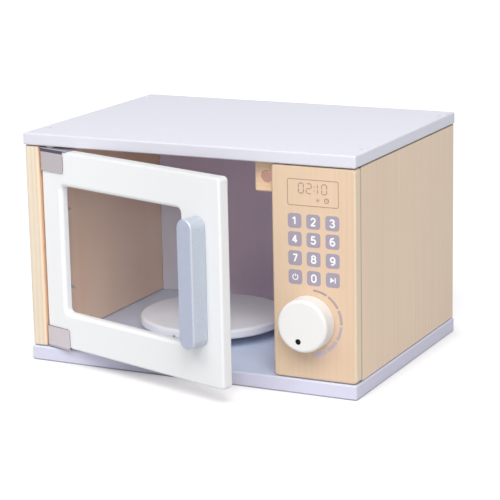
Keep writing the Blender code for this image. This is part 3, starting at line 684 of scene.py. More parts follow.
class Graph:
    """The nodes of a material or a world."""

    def __init__(self, owner: Union[bpy.types.Material, bpy.types.World]) -> None:
        """Turn on the owner's nodes.

        Args:
            owner: The material or the world.
        """
        owner.use_nodes = True
        self.tree = owner.node_tree

    def signal(self, kind: str, output: Union[str, int], settings: Settings, sockets: Feeds) -> Signal:
        """Add a node and return one of its outputs."""
        return Signal(self, self.node(kind, settings, sockets).outputs[output])

    def feed(self, socket: bpy.types.NodeSocket, value: Feed) -> None:
        """Link a signal to a socket, or set a number or colour on it.

        Args:
            socket: The socket.
            value: What feeds it.
        """
        if isinstance(value, Signal):
            self.tree.links.new(value.socket, socket)
        elif isinstance(value, (int, float)):
            socket.default_value = value
        else:
            wide = len(socket.default_value) > len(value)
            socket.default_value = (*value, 1.0) if wide else tuple(value)

    def node(self, kind: str, settings: Settings, sockets: Feeds) -> bpy.types.Node:
        """Add a node.

        Args:
            kind: The node's type.
            settings: What it is set to, before its sockets are fed.
            sockets: What feeds its inputs, by name or number.

        Returns:
            The node.
        """
        node = self.tree.nodes.new(kind)
        for name, value in settings.items():
            setattr(node, name, value)
        for key, value in sockets.items():
            self.feed(node.inputs[key], value)
        return node

    def stretched(self, scale: Colour = (1.0, 1.0, 1.0), shift: Colour = (0.0, 0.0, 0.0)) -> Signal:
        """The place on the piece, scaled along each direction of the frame.

        Args:
            scale: How many pattern lengths a metre has along X, Y and Z.
            shift: Where the pattern's zero lies, in pattern lengths.

        Returns:
            The scaled place.
        """
        place = self.signal("ShaderNodeTexCoord", "Object", {}, {})
        return self.signal("ShaderNodeMapping", 0, {}, {"Vector": place, "Scale": scale, "Location": shift})

    def place(self) -> tuple[Signal, Signal, Signal]:
        """The place on the piece along X, Y and Z, in metres."""
        outputs = self.node("ShaderNodeSeparateXYZ", {}, {0: self.stretched()}).outputs
        return Signal(self, outputs[0]), Signal(self, outputs[1]), Signal(self, outputs[2])

    def noise(
        self, scale: Colour, shift: Colour = (0.0, 0.0, 0.0), detail: float = 3.0, rough: float = 0.5
    ) -> Signal:
        """Smooth random values about 0, mostly from -0.5 to 0.5.

        Args:
            scale: How many waves a metre has along X, Y and Z.
            shift: Where the pattern's zero lies, in waves.
            detail: How many finer waves are added.
            rough: How strong the finer waves are.

        Returns:
            The values.
        """
        sockets = {"Vector": self.stretched(scale, shift), "Scale": 1.0, "Detail": detail, "Roughness": rough}
        value = self.signal("ShaderNodeTexNoise", 0, {"noise_dimensions": "3D"}, sockets)
        return (value - 0.5) * NOISE_SPREAD

    def specks(self, scale: Colour) -> Signal:
        """The distance to the nearest of scattered points, in cells, with so many cells a metre."""
        sockets = {"Vector": self.stretched(scale), "Scale": 1.0}
        return self.signal("ShaderNodeTexVoronoi", "Distance", {"feature": "F1"}, sockets)

    def mix(self, share: Term, first: Paint, second: Paint) -> Signal:
        """One colour turning into another.

        Args:
            share: How much of the second colour there is.
            first: The first colour.
            second: The second colour.

        Returns:
            The mixed colour.
        """
        settings = {"data_type": "RGBA", "clamp_factor": True}
        return self.signal("ShaderNodeMix", 2, settings, {0: share, 6: first, 7: second})

    def shade(self, colour: Paint, light: Signal) -> Signal:
        """A colour made lighter or darker: each of its parts times 1 + light."""
        return self.signal("ShaderNodeVectorMath", 0, {"operation": "MULTIPLY"}, {0: colour, 1: light + 1.0})

    def darkened(self, seams: "Sequence[Seam]") -> Signal:
        """How much painted shade darkens a board near its seams.

        Args:
            seams: The seams; each darkens from its reach on, and fully from a third of it.

        Returns:
            The share that is taken away, 0 away from all seams.
        """
        place = self.place()
        total = place[0] * 0.0
        for seam in seams:
            inside = (seam.place - place[seam.axis]) if seam.ends else (place[seam.axis] - seam.place)
            total = total + (1.0 - inside.above(seam.reach / 3, seam.reach)) * seam.strength
        return total.clamped()

    def toned(self, colour: Paint, tones: "Sequence[Tone]") -> Paint:
        """A colour that turns into other tones along their directions.

        Args:
            colour: The colour.
            tones: The tones, each laid over the one before.

        Returns:
            The colour with its tones.
        """
        place = self.stretched()
        for tone in tones:
            sockets = {0: place, 1: tone.toward}
            along = self.signal("ShaderNodeVectorMath", "Value", {"operation": "DOT_PRODUCT"}, sockets)
            share = along.above(tone.start, tone.start + tone.width) * tone.share
            colour = self.mix(share, colour, tone.colour)
        return colour

    def bump(self, height: Signal, depth: float) -> None:
        """Raise the surface by a height times a depth in metres."""
        sockets = {"Height": height, "Distance": depth, "Strength": 1.0}
        self.finish(Normal=self.signal("ShaderNodeBump", 0, {}, sockets))

    def finish(self, **sockets: Feed) -> None:
        """Feed the Principled shader's sockets.

        Args:
            sockets: What feeds each; an underscore in a name stands for a space.
        """
        shader = self.tree.nodes["Principled BSDF"]
        for name, value in sockets.items():
            self.feed(shader.inputs[name.replace("_", " ")], value)

    def seen(self) -> Signal:
        """Which rays see the background and the floor as white.

        Returns:
            1 for the camera, in reflections and through clear pieces, and 0 for the light on the toy.
        """
        names = ("Is Camera Ray", "Is Glossy Ray", "Is Transmission Ray")
        camera, glossy, through = (self.signal("ShaderNodeLightPath", name, {}, {}) for name in names)
        return (camera + glossy + through).clamped()


@dataclass(frozen=True)
class Seam:
    """A plane near which a finish is darkened with painted shade, at a board's joints and on a few faces."""

    axis: int
    place: float
    ends: bool
    strength: float = 0.7
    reach: float = 0.0012


@dataclass(frozen=True)
class Tone:
    """Another tone that a finish takes on from a start over a width, along a direction of length 1; most are
    painted light and shade.
    """

    colour: Colour
    toward: Colour
    start: float
    width: float
    share: float = 1.0


class Grain(Enum):
    """The direction that a board's fibres run in, as the order of along, across and second across."""

    X = (0, 1, 2)
    Y = (1, 2, 0)
    Z = (2, 0, 1)

    def scaled(self, along: float, across: float) -> Colour:
        """A scale for each direction of the frame, from one along the fibres and one across them."""
        return tuple(along if axis == self.value[0] else across for axis in range(3))


@dataclass(frozen=True)
class Coat:
    """A finish's material, and the record's slot that it belongs to."""

    material: bpy.types.Material
    slot: str


@dataclass(frozen=True)
class Finish:
    """A finish, which becomes one material; each kind lays out its nodes in its own way."""

    name: str

    def coat(self, slot: str) -> Coat:
        """Make the material.

        Args:
            slot: The record's slot that the finish belongs to.

        Returns:
            The material with its slot.
        """
        material = bpy.data.materials.new(self.name)
        self.draw(Graph(material))
        return Coat(material, slot)

    def draw(self, graph: Graph) -> None:
        """Lay out the nodes."""
        raise NotImplementedError


@dataclass(frozen=True)
class WoodFinish(Finish):
    """Clear-varnished wood: rings about a heart line, drifting tone, fibres and short pores."""

    pale: Colour
    ring: Colour
    drift: Colour
    grain: Grain = Grain.Z
    heart: Pair = (0.0, 0.0)
    spacing: float = 0.0034
    wander: float = 0.0035
    ring_strength: float = 0.55
    drift_strength: float = 0.6
    fibre_strength: float = 0.05
    roughness: float = 0.52
    seams: tuple[Seam, ...] = ()
    tones: tuple[Tone, ...] = ()

    def draw(self, graph: Graph) -> None:
        """Lay out the nodes.

        A ring's place is the distance to the heart line plus a slow wander, over the rings' spacing. Late
        wood darkens softly through each ring and stops short at its end.

        Args:
            graph: The material's nodes.
        """
        scaled, place = self.grain.scaled, graph.place()
        first, second = (place[axis] for axis in self.grain.value[1:])
        slow = graph.noise(scaled(5.0, 26.0))
        fine = graph.noise(scaled(11.0, 190.0), (3.1, 1.7, 2.2), detail=2.0)
        aside = (first - self.heart[0]) ** 2.0 + (second - self.heart[1]) ** 2.0
        age = ((aside.root() + slow * self.wander + fine * (self.wander * 0.12)) / self.spacing).fraction()
        late = age.above(0.25, 0.9) * (1.0 - age.above(0.93, 1.0))
        year = graph.noise(scaled(2.0, 90.0), (7.0, 4.0, 1.0), detail=1.0)
        strength = (year * 0.9 + 0.6).clamped() * self.ring_strength
        tone = graph.noise(scaled(4.5, 13.0), (1.3, 8.2, 5.1))
        fibre = graph.noise(scaled(34.0, 1500.0), rough=0.62)
        streak = graph.noise(scaled(9.0, 330.0), (2.0, 6.0, 9.0), detail=2.0)
        pore = (1.0 - graph.specks(scaled(170.0, 1250.0)).above(0.1, 0.34)) * streak.above(0.0, 0.35)
        base = graph.mix((tone * 1.3 + 0.5).clamped() * self.drift_strength, self.pale, self.drift)
        # The tones and the seams paint light and shade onto the wood.
        ringed = graph.toned(graph.mix(late * strength, base, self.ring), self.tones)
        light = fibre * self.fibre_strength + streak * (self.fibre_strength * 0.9) - pore * 0.1
        graph.finish(
            Base_Color=graph.shade(ringed, light - graph.darkened(self.seams)),
            Roughness=fibre * 0.12 + self.roughness - late * 0.06,
            IOR=1.45,
            Coat_Roughness=0.3,
        )
        graph.bump(fibre * 0.35 - pore * 0.8 + late * 0.25, 0.00003)


@dataclass(frozen=True)
class PlyFinish(Finish):
    """Veneered plywood: a straight-grained face, and cross layers that show as stripes on its edges."""

    pale: Colour
    ring: Colour
    layer_dark: Colour
    left: float
    right: float
    layers: int = 9
    roughness: float = 0.55
    seams: tuple[Seam, ...] = ()

    def draw(self, graph: Graph) -> None:
        """Lay out the nodes.

        The layer's number is the place across the board over the layers' thickness. Every second one is
        darker, and the outer two are the face veneers.

        Args:
            graph: The material's nodes.
        """
        x, y, _ = graph.place()
        depth = (x - self.left) / ((self.right - self.left) / self.layers)
        pair = (depth * 0.5).fraction()
        inner = depth.above(0.55, 0.65) * (1.0 - depth.above(self.layers - 0.65, self.layers - 0.55))
        cross = pair.above(0.49, 0.51) * (1.0 - pair.above(0.98, 1.0)) * inner
        glue = (1.0 - ((depth.fraction() - 0.5).size() * 2.0 - 1.0).size().above(0.0, 0.12)) * inner
        slow = graph.noise((8.0, 22.0, 3.2))
        age = ((y + slow * 0.005) / 0.0062).fraction()
        late = age.above(0.2, 0.85) * (1.0 - age.above(0.9, 1.0))
        tone = graph.noise((10.0, 12.0, 4.0), (5.0, 1.0, 3.0))
        streak = graph.noise((60.0, 260.0, 7.0))
        fibre = graph.noise((700.0, 1400.0, 30.0), rough=0.62)
        face = graph.mix((tone * 1.2 + 0.5).clamped() * 0.5, self.pale, self.ring)
        ringed = graph.mix(late * (slow + 0.55).clamped() * 0.32, face, self.ring)
        layered = graph.mix(cross * 0.75 + glue * 0.25, ringed, self.layer_dark)
        # The seams darken the ply with painted shade.
        graph.finish(
            Base_Color=graph.shade(layered, fibre * 0.045 + streak * 0.07 - graph.darkened(self.seams)),
            Roughness=fibre * 0.12 + self.roughness,
            IOR=1.45,
        )
        graph.bump(fibre * 0.4 + streak * 0.3, 0.00003)


@dataclass(frozen=True)
class PaintFinish(Finish):
    """Sprayed paint on board: a fine orange peel, grain that shows faintly through, and slight clouds."""

    colour: Colour
    grain: Grain = Grain.X
    roughness: float = 0.42
    streaks: float = 0.018
    mottle: float = 0.014
    sparkle: float = 0.0
    metallic: float = 0.0
    peel: float = 0.000004
    fleck: float = 1700.0
    gloss: float = 0.5
    seams: tuple[Seam, ...] = ()
    tones: tuple[Tone, ...] = ()

    def draw(self, graph: Graph) -> None:
        """Lay out the nodes.

        Args:
            graph: The material's nodes.
        """
        streak = graph.noise(self.grain.scaled(14.0, 620.0), rough=0.6)
        cloud = graph.noise((28.0,) * 3, (4.0, 2.0, 6.0))
        peel = graph.noise((1150.0,) * 3, detail=1.0)
        fleck = graph.noise((self.fleck,) * 3, (2.0, 5.0, 1.0), rough=0.75)
        light = streak * self.streaks + cloud * self.mottle + fleck * (self.mottle * 0.6 + self.sparkle)
        # The seams and the tones paint light and shade onto the paint.
        if self.seams:
            light = light - graph.darkened(self.seams)
        graph.finish(
            Base_Color=graph.shade(graph.toned(self.colour, self.tones), light),
            Roughness=cloud * 0.08 + peel * 0.06 + self.roughness,
            Metallic=self.metallic,
            IOR=1.47,
            Specular_IOR_Level=self.gloss,
        )
        graph.bump(peel + streak * 1.4, self.peel)


@dataclass(frozen=True)
class MetalFinish(Finish):
    """Plated metal, brushed along one direction, with tarnish clouds and fine scratches."""

    colour: Colour
    roughness: float = 0.36
    brush: Grain = Grain.X
    cloud: float = 0.06

    def draw(self, graph: Graph) -> None:
        """Lay out the nodes.

        Args:
            graph: The material's nodes.
        """
        brush = graph.noise(self.brush.scaled(160.0, 4200.0), detail=2.0, rough=0.6)
        cloud = graph.noise((240.0,) * 3, (1.0, 3.0, 2.0))
        scratch = graph.noise(self.brush.scaled(900.0, 5200.0), (8.0, 2.0, 4.0), detail=1.0)
        mark = scratch.above(0.33, 0.42)
        graph.finish(
            Base_Color=graph.shade(self.colour, brush * 0.07 + cloud * self.cloud - mark * 0.05),
            Roughness=brush * 0.14 + cloud * 0.1 + mark * 0.12 + self.roughness,
            Metallic=1.0,
        )
        graph.bump(brush - mark * 0.8, 0.0000025)


@dataclass(frozen=True)
class PlasticFinish(Finish):
    """Moulded or varnished plain colour with a soft, slightly uneven gloss."""

    colour: Colour
    roughness: float = 0.4
    mottle: float = 0.02
    texture: float = 0.000002
    gloss: float = 0.5

    def draw(self, graph: Graph) -> None:
        """Lay out the nodes.

        Args:
            graph: The material's nodes.
        """
        cloud = graph.noise((160.0,) * 3)
        grit = graph.noise((2300.0,) * 3, detail=2.0)
        graph.finish(
            Base_Color=graph.shade(self.colour, cloud * self.mottle + grit * self.mottle),
            Roughness=cloud * 0.08 + grit * 0.06 + self.roughness,
            IOR=1.5,
            Specular_IOR_Level=self.gloss,
        )
        graph.bump(grit + cloud * 0.5, self.texture)


@dataclass(frozen=True)
class InkFinish(Finish):
    """Pad-printed ink: thin cover that lets the wood's fibres show a little."""

    colour: Colour
    cover: float = 0.1

    def draw(self, graph: Graph) -> None:
        """Lay out the nodes.

        Args:
            graph: The material's nodes.
        """
        fibre = graph.noise(Grain.Z.scaled(60.0, 1500.0), rough=0.65)
        cloud = graph.noise((420.0,) * 3, detail=2.0)
        graph.finish(
            Base_Color=graph.shade(self.colour, fibre * self.cover + cloud * (self.cover * 0.5)),
            Roughness=fibre * 0.1 + 0.5,
        )
        graph.bump(fibre, 0.000004)


@dataclass(frozen=True)
class ClearFinish(Finish):
    """Clear plastic sheet: mostly open, with a pale haze and a few hair scratches."""

    tint: Colour
    haze: float = 0.035
    roughness: float = 0.06

    def draw(self, graph: Graph) -> None:
        """Lay out the nodes.

        Args:
            graph: The material's nodes.
        """
        cloud = graph.noise((30.0,) * 3)
        scratch = graph.noise((900.0, 900.0, 60.0), detail=1.0).above(0.36, 0.44)
        graph.finish(
            Base_Color=self.tint,
            Roughness=cloud * 0.03 + scratch * 0.2 + self.roughness,
            IOR=1.49,
            Alpha=cloud * 0.02 + scratch * 0.02 + self.haze,
        )


class Finishes:
    """Every finish on the toy, each made once."""

    def __init__(self) -> None:
        """Make the materials, some with painted light and shade; a board's inner face takes its tone on from
        just under its surface.
        """
        side_low, side_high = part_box("right_side_panel")
        panel_low, panel_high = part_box("control_panel")
        top_low, top_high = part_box("top_panel")
        base_low, base_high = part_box("base_panel")
        door_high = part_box("door_frame")[1]
        inner_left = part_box("left_side_panel")[1].x - 0.0011
        inner_right = panel_high.x - 0.0012
        inner_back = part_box("back_panel")[0].y + 0.0004
        right, back, up = Facing.RIGHT.outward(), Facing.BACK.outward(), Facing.UP.outward()
        # Painted shade: these seams darken the boards in the gaps under the top board, above the base and
        # between the control panel and the right board.
        upper, lower = Seam(2, panel_high.z, True), Seam(2, panel_low.z, False, 0.4)
        behind, before = Seam(1, panel_high.y, True, 0.45), Seam(1, side_low.y, False, 0.45)
        # Painted shade: front_edge makes the top board's front face a little darker than its top, and dish
        # darkens the plugs' sunk dishes.
        front_edge = Seam(1, top_low.y, False, 0.12, 0.0009)
        dish = Seam(2, top_high.z - 0.0006, False, 0.3, 0.0004)
        lavender, grey = (0.808, 0.816, 0.907), (0.74, 0.61, 0.735)
        self.lavender = PaintFinish(
            "lavender_top_paint", lavender, gloss=0.05, seams=(front_edge,)
        ).coat("lavender_paint")
        self.plug = PaintFinish(
            "lavender_plug_paint", lavender, roughness=0.6, gloss=0.05, seams=(dish,)
        ).coat("lavender_paint")
        # Painted light and shade: the base's upper face is painted lighter and bluer for the bounce light in
        # the oven, and its bottom edge darker as a painted contact shadow.
        self.floor = PaintFinish(
            "lavender_base_paint",
            (0.668, 0.672, 0.82),
            seams=(Seam(2, base_low.z, False, 0.4, 0.0016),),
            tones=(Tone((0.69, 0.785, 0.98), up, base_high.z - 0.0003, 0.0003),),
        ).coat("lavender_paint")
        # Painted light: the back board's inner face is painted lighter and bluer towards its lower left, for
        # the light that comes through the window and up from the disc and floor; the last tone keeps its
        # outer face plain grey.
        self.grey = PaintFinish(
            "grey_back_paint",
            grey,
            Grain.Z,
            0.55,
            streaks=0.03,
            tones=(
                Tone((0.83, 0.83, 0.93), (-0.9, 0.0, -0.436), 0.03, 0.05),
                Tone((0.92, 0.90, 0.99), (-0.707, 0.0, -0.707), 0.02, 0.04, 0.6),
                Tone(grey, back, inner_back, 0.0004),
            ),
        ).coat("grey_paint")
        # Painted shade: the door is painted darker towards its right, and its top face darker than its front.
        self.white = PaintFinish(
            "white_door_paint",
            (0.91, 0.928, 0.942),
            Grain.Z,
            0.4,
            streaks=0.008,
            tones=(Tone((0.829, 0.844, 0.857), right, -0.13, 0.17),),
            seams=(Seam(2, door_high.z, True, 0.1, 0.0022),),
        ).coat("white_paint")
        self.cream = PaintFinish(
            "warm_white_knob_paint", (0.81, 0.815, 0.80), Grain.Y, 0.5, streaks=0.004
        ).coat("knob_paint")
        self.disc = PaintFinish(
            "off_white_disc_paint", (0.91, 0.935, 0.985), Grain.X, 0.46, streaks=0.02
        ).coat("disc_paint")
        # Painted shade: the handle's front face is painted darker than its sides.
        door = door_space()
        front = -door.rotation()[1]
        ahead = float(front @ np.array(door.pivot) - door.box("door_handle")[0][1])
        self.silver = PaintFinish(
            "silver_blue_handle_paint",
            (0.53, 0.58, 0.66),
            Grain.Z,
            0.36,
            streaks=0.035,
            mottle=0.07,
            sparkle=0.17,
            metallic=0.3,
            peel=0.000006,
            fleck=800.0,
            tones=(Tone((0.432, 0.475, 0.593), tuple(front.tolist()), ahead - 0.0004, 0.0003),),
        ).coat("silver_paint")
        # Painted light: the left board's inner face is painted more orange and brighter, for the warm light
        # inside the oven.
        self.board_wood = WoodFinish(
            "left_board_wood",
            (0.814, 0.76, 0.622),
            (0.778, 0.57, 0.38),
            (0.824, 0.66, 0.528),
            heart=(-0.62, 0.01),
            spacing=0.0041,
            wander=0.0022,
            ring_strength=0.8,
            seams=(upper, lower),
            tones=(Tone((1.0, 0.635, 0.405), right, inner_left, 0.0006, 0.75),),
        ).coat("natural_wood")
        # Painted light: the control panel's right edge face is painted lighter and paler than its front.
        self.panel_wood = WoodFinish(
            "control_panel_wood",
            (0.74, 0.5735, 0.409),
            (0.6845, 0.481, 0.32),
            (0.731, 0.523, 0.376),
            heart=(0.02, -0.055),
            spacing=0.0046,
            ring_strength=0.26,
            seams=(upper, lower, behind),
            tones=(Tone((0.86, 0.742, 0.55), right, inner_right, 0.0006, 0.75),),
        ).coat("natural_wood")
        self.block_wood = WoodFinish(
            "catch_block_wood",
            (0.879, 0.655, 0.452),
            (0.747, 0.478, 0.294),
            (0.848, 0.593, 0.407),
            grain=Grain.X,
            heart=(-0.12, 0.12),
            ring_strength=0.5,
        ).coat("natural_wood")
        self.spacer_wood = WoodFinish(
            "spacer_wood",
            (0.87, 0.67, 0.45),
            (0.78, 0.52, 0.32),
            (0.86, 0.62, 0.42),
            heart=(-0.03, 0.02),
            spacing=0.0022,
        ).coat("natural_wood")
        self.ply = PlyFinish(
            "right_board_ply",
            (0.896, 0.7385, 0.577),
            (0.824, 0.628, 0.464),
            (0.55, 0.37, 0.22),
            side_low.x,
            side_high.x,
            seams=(upper, lower, before),
        ).coat("ply_wood")
        # Lit and shaded copies of one nickel: the top clip's plate is painted darker for the shade under the
        # top board, the bottom clip's paler; the necks are dark sheets painted as the shadow in the clips'
        # slits.
        self.nickel, self.pale_nickel, self.shaded = (
            MetalFinish(name, colour, roughness).coat("nickel")
            for name, colour, roughness in (
                ("nickel_clip_plate", (0.468, 0.435, 0.456), 0.42),
                ("pale_nickel_clip_plate", (0.585, 0.545, 0.57), 0.42),
                ("shaded_clip_neck", (0.11, 0.10, 0.15), 0.55),
            )
        )
        # Painted reflection: the magnet's nickel is tinted pink for the wood round it that it reflects.
        self.magnet = MetalFinish("magnet_plate", (0.84, 0.515, 0.44), 0.46, Grain.Y, 0.10).coat("nickel")
        self.zinc = MetalFinish("zinc_screw_plate", (0.66, 0.67, 0.69), 0.38).coat("zinc")
        black = (0.006, 0.006, 0.007)
        self.black = PlasticFinish("black_dot_paint", black, 0.7, gloss=0.12).coat("black_paint")
        self.nylon = PlasticFinish("natural_nylon", (0.84, 0.84, 0.81), 0.48).coat("white_nylon")
        self.clear = ClearFinish("clear_window_sheet", (0.90, 0.92, 0.95)).coat("clear_plastic")
        self.key_ink = InkFinish("lavender_key_ink", (0.36, 0.322, 0.405)).coat("grey_paint")
        self.digit_ink = InkFinish("white_digit_ink", (0.93, 0.93, 0.95), 0.02).coat("white_paint")
        self.line_ink = InkFinish("brown_line_ink", (0.37, 0.25, 0.205)).coat("black_paint")
        self.time_ink = InkFinish("pale_brown_time_ink", (0.42, 0.30, 0.235)).coat("black_paint")


class Workshop:
    """Finishes pieces: gives each its material and body, and reports it."""

    def __init__(self, finishes: Finishes) -> None:
        """Keep the finishes at hand."""
        self.finishes = finishes
        self.count = 0

    def dress(self, item: bpy.types.Object, coat: Coat, body: str, *nodes: str) -> None:
        """Finish a piece.

        Args:
            item: The piece.
            coat: Its finish.
            body: The body that it moves with.
            nodes: The nodes that it stands for.
        """
        item.data.materials.clear()
        item.data.materials.append(coat.material)
        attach(item, body)
        if nodes:
            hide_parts(*nodes)
        self.count += 1
        log.info("%s: %d faces, rides on %s", item.name, len(item.data.polygons), body)


@dataclass
class Hardware:
    """Screws, pins, washers and nuts, made to the size of the nodes that they stand for."""

    shop: Workshop
    edge: float = 0.00015
    head_share: float = 0.5
    recess_reach_share: float = 0.62
    recess_width_share: float = 0.3
    recess_depth_share: float = 0.85
    tip_share: float = 1.6
    rim_share: float = 0.1
    slot_fades: Pair = (0.2, 0.07)
    slot_rise: float = 0.45

    def _dress(self, shell: Shell, stock: Stock, body: str, coat: Optional[Coat] = None) -> None:
        """Make and finish the piece that stands for a node, in zinc if nothing else is said."""
        item = shell.piece(stock.node + "_fine", stock.place)
        self.shop.dress(item, coat or self.shop.finishes.zinc, body, stock.node)

    def pin(self, stock: Stock, body: str) -> None:
        """A plain round pin with softened ends."""
        self._dress(drum(stock.width / 2, stock.depth, self.edge), stock, body)

    def washer(self, stock: Stock, body: str, bore: float, coat: Optional[Coat] = None) -> None:
        """A flat washer with a bore."""
        self._dress(washer(stock.width / 2, bore, stock.depth, self.edge), stock, body, coat)

    def nut(self, stock: Stock, body: str, bore: float) -> None:
        """A six-sided nut with a bore, its corners on a circle.

        Args:
            stock: The node's block.
            body: The body that it moves with.
            bore: The bore's radius.
        """
        reach = max(stock.width, stock.height) / 2
        wide = stock.width >= stock.height
        angle = np.arange(6) * (math.tau / 6) + (0.0 if wide else math.tau / 12)
        corners = np.stack([reach * np.cos(angle), reach * np.sin(angle)], axis=1)
        hole = Hole.through(Outline.circle(bore, steps=40), stock.depth, self.edge)
        outline = Outline.polygon(corners, 2 * self.edge, steps=3)
        self._dress(slab(outline, stock.depth, (self.edge, self.edge), [hole]), stock, body)

    def screw(self, stock: Stock, body: str, shank: float, head: float) -> None:
        """A pan-head screw with a cross recess, then a shank and a pointed tip.

        The head is a grid over radius and angle, raised by its height; its normals are that height's slopes.

        Args:
            stock: The node's block, its main face at the head.
            body: The body that it moves with.
            shank: The shank's radius.
            head: The head's height.
        """
        reach = stock.width / 2
        steps, rings = 48, 20
        angle = np.arange(steps)[:, None] * (math.tau / steps)
        share = np.linspace(0.0, 1.0, rings + 1)[None, 1:]
        x, y = reach * share * np.cos(angle), reach * share * np.sin(angle)
        small = reach * 0.01
        height = self._head(x, y, reach, head)
        slopes = (
            (self._head(x - small, y, reach, head) - self._head(x + small, y, reach, head)) / (2 * small),
            (self._head(x, y - small, reach, head) - self._head(x, y + small, reach, head)) / (2 * small),
        )
        shell = Shell()
        index = shell.add(
            np.stack([x, y, height], axis=-1),
            unit(np.stack([*slopes, np.ones_like(x)], axis=-1)),
        )
        shell.grid(index, around=True)
        shell.pole(index[:, 0], -self.recess_depth_share * head, up=True)
        corners = [
            (reach, -head * (self.head_share + self.rim_share)),
            (reach, -head),
            (shank, -head),
            (shank, self.tip_share * shank - stock.depth),
            (0.0, -stock.depth),
        ]
        section = Section.path(corners, (0.0, self.edge, self.edge, self.edge, 0.0), steps=3)
        rim, last = shell.wall(Outline.axis(steps), section.part(0, -1))
        shell.grid(np.stack([index[:, -1], rim], axis=1), around=True)
        shell.pole(last, -stock.depth, up=False)
        self._dress(shell, stock, body)

    def _head(self, x: Array, y: Array, reach: float, head: float) -> Array:
        """A head's height: a dome, less two crossed slots that fade at their ends and sides.

        Args:
            x: Distances across.
            y: Distances along.
            reach: The head's radius.
            head: Its height.

        Returns:
            The heights, 0 at the top of the dome.
        """
        a, b = np.abs(x) / reach, np.abs(y) / reach
        share = np.hypot(a, b)
        slots = [
            np.clip((self.recess_reach_share - far) / self.slot_fades[0], 0, 1)
            * np.clip((self.recess_width_share / 2 - near) / self.slot_fades[1], 0, 1)
            for far, near in ((a, b), (b, a))
        ]
        sink = self.recess_depth_share * np.maximum(*slots) * (1.0 - self.slot_rise * share)
        return -head * (self.head_share * share**3 + sink)


@dataclass
class Assembly:
    """A sub-assembly: who finishes it, who makes its hardware, and how its pieces are measured."""

    shop: Workshop
    hardware: Hardware
    space: Space = field(default_factory=Space)
    screw_shank: float = 0.0018
    screw_head: float = 0.0024

    @property
    def finishes(self) -> Finishes:
        """The toy's finishes."""
        return self.shop.finishes

    def build(self) -> None:
        """Make the whole sub-assembly."""
        raise NotImplementedError

    def put(self, shell: Shell, name: str, stock: Stock, coat: Coat, body: str) -> None:
        """Make and finish the piece that stands for a node."""
        self.shop.dress(shell.piece(name, stock.place), coat, body, stock.node)

    def drive(self, names: Sequence[str], facing: Facing, body: str) -> None:
        """Put in screws of the sub-assembly's own size."""
        for name in names:
            self.hardware.screw(self.space.stock(name, facing), body, self.screw_shank, self.screw_head)


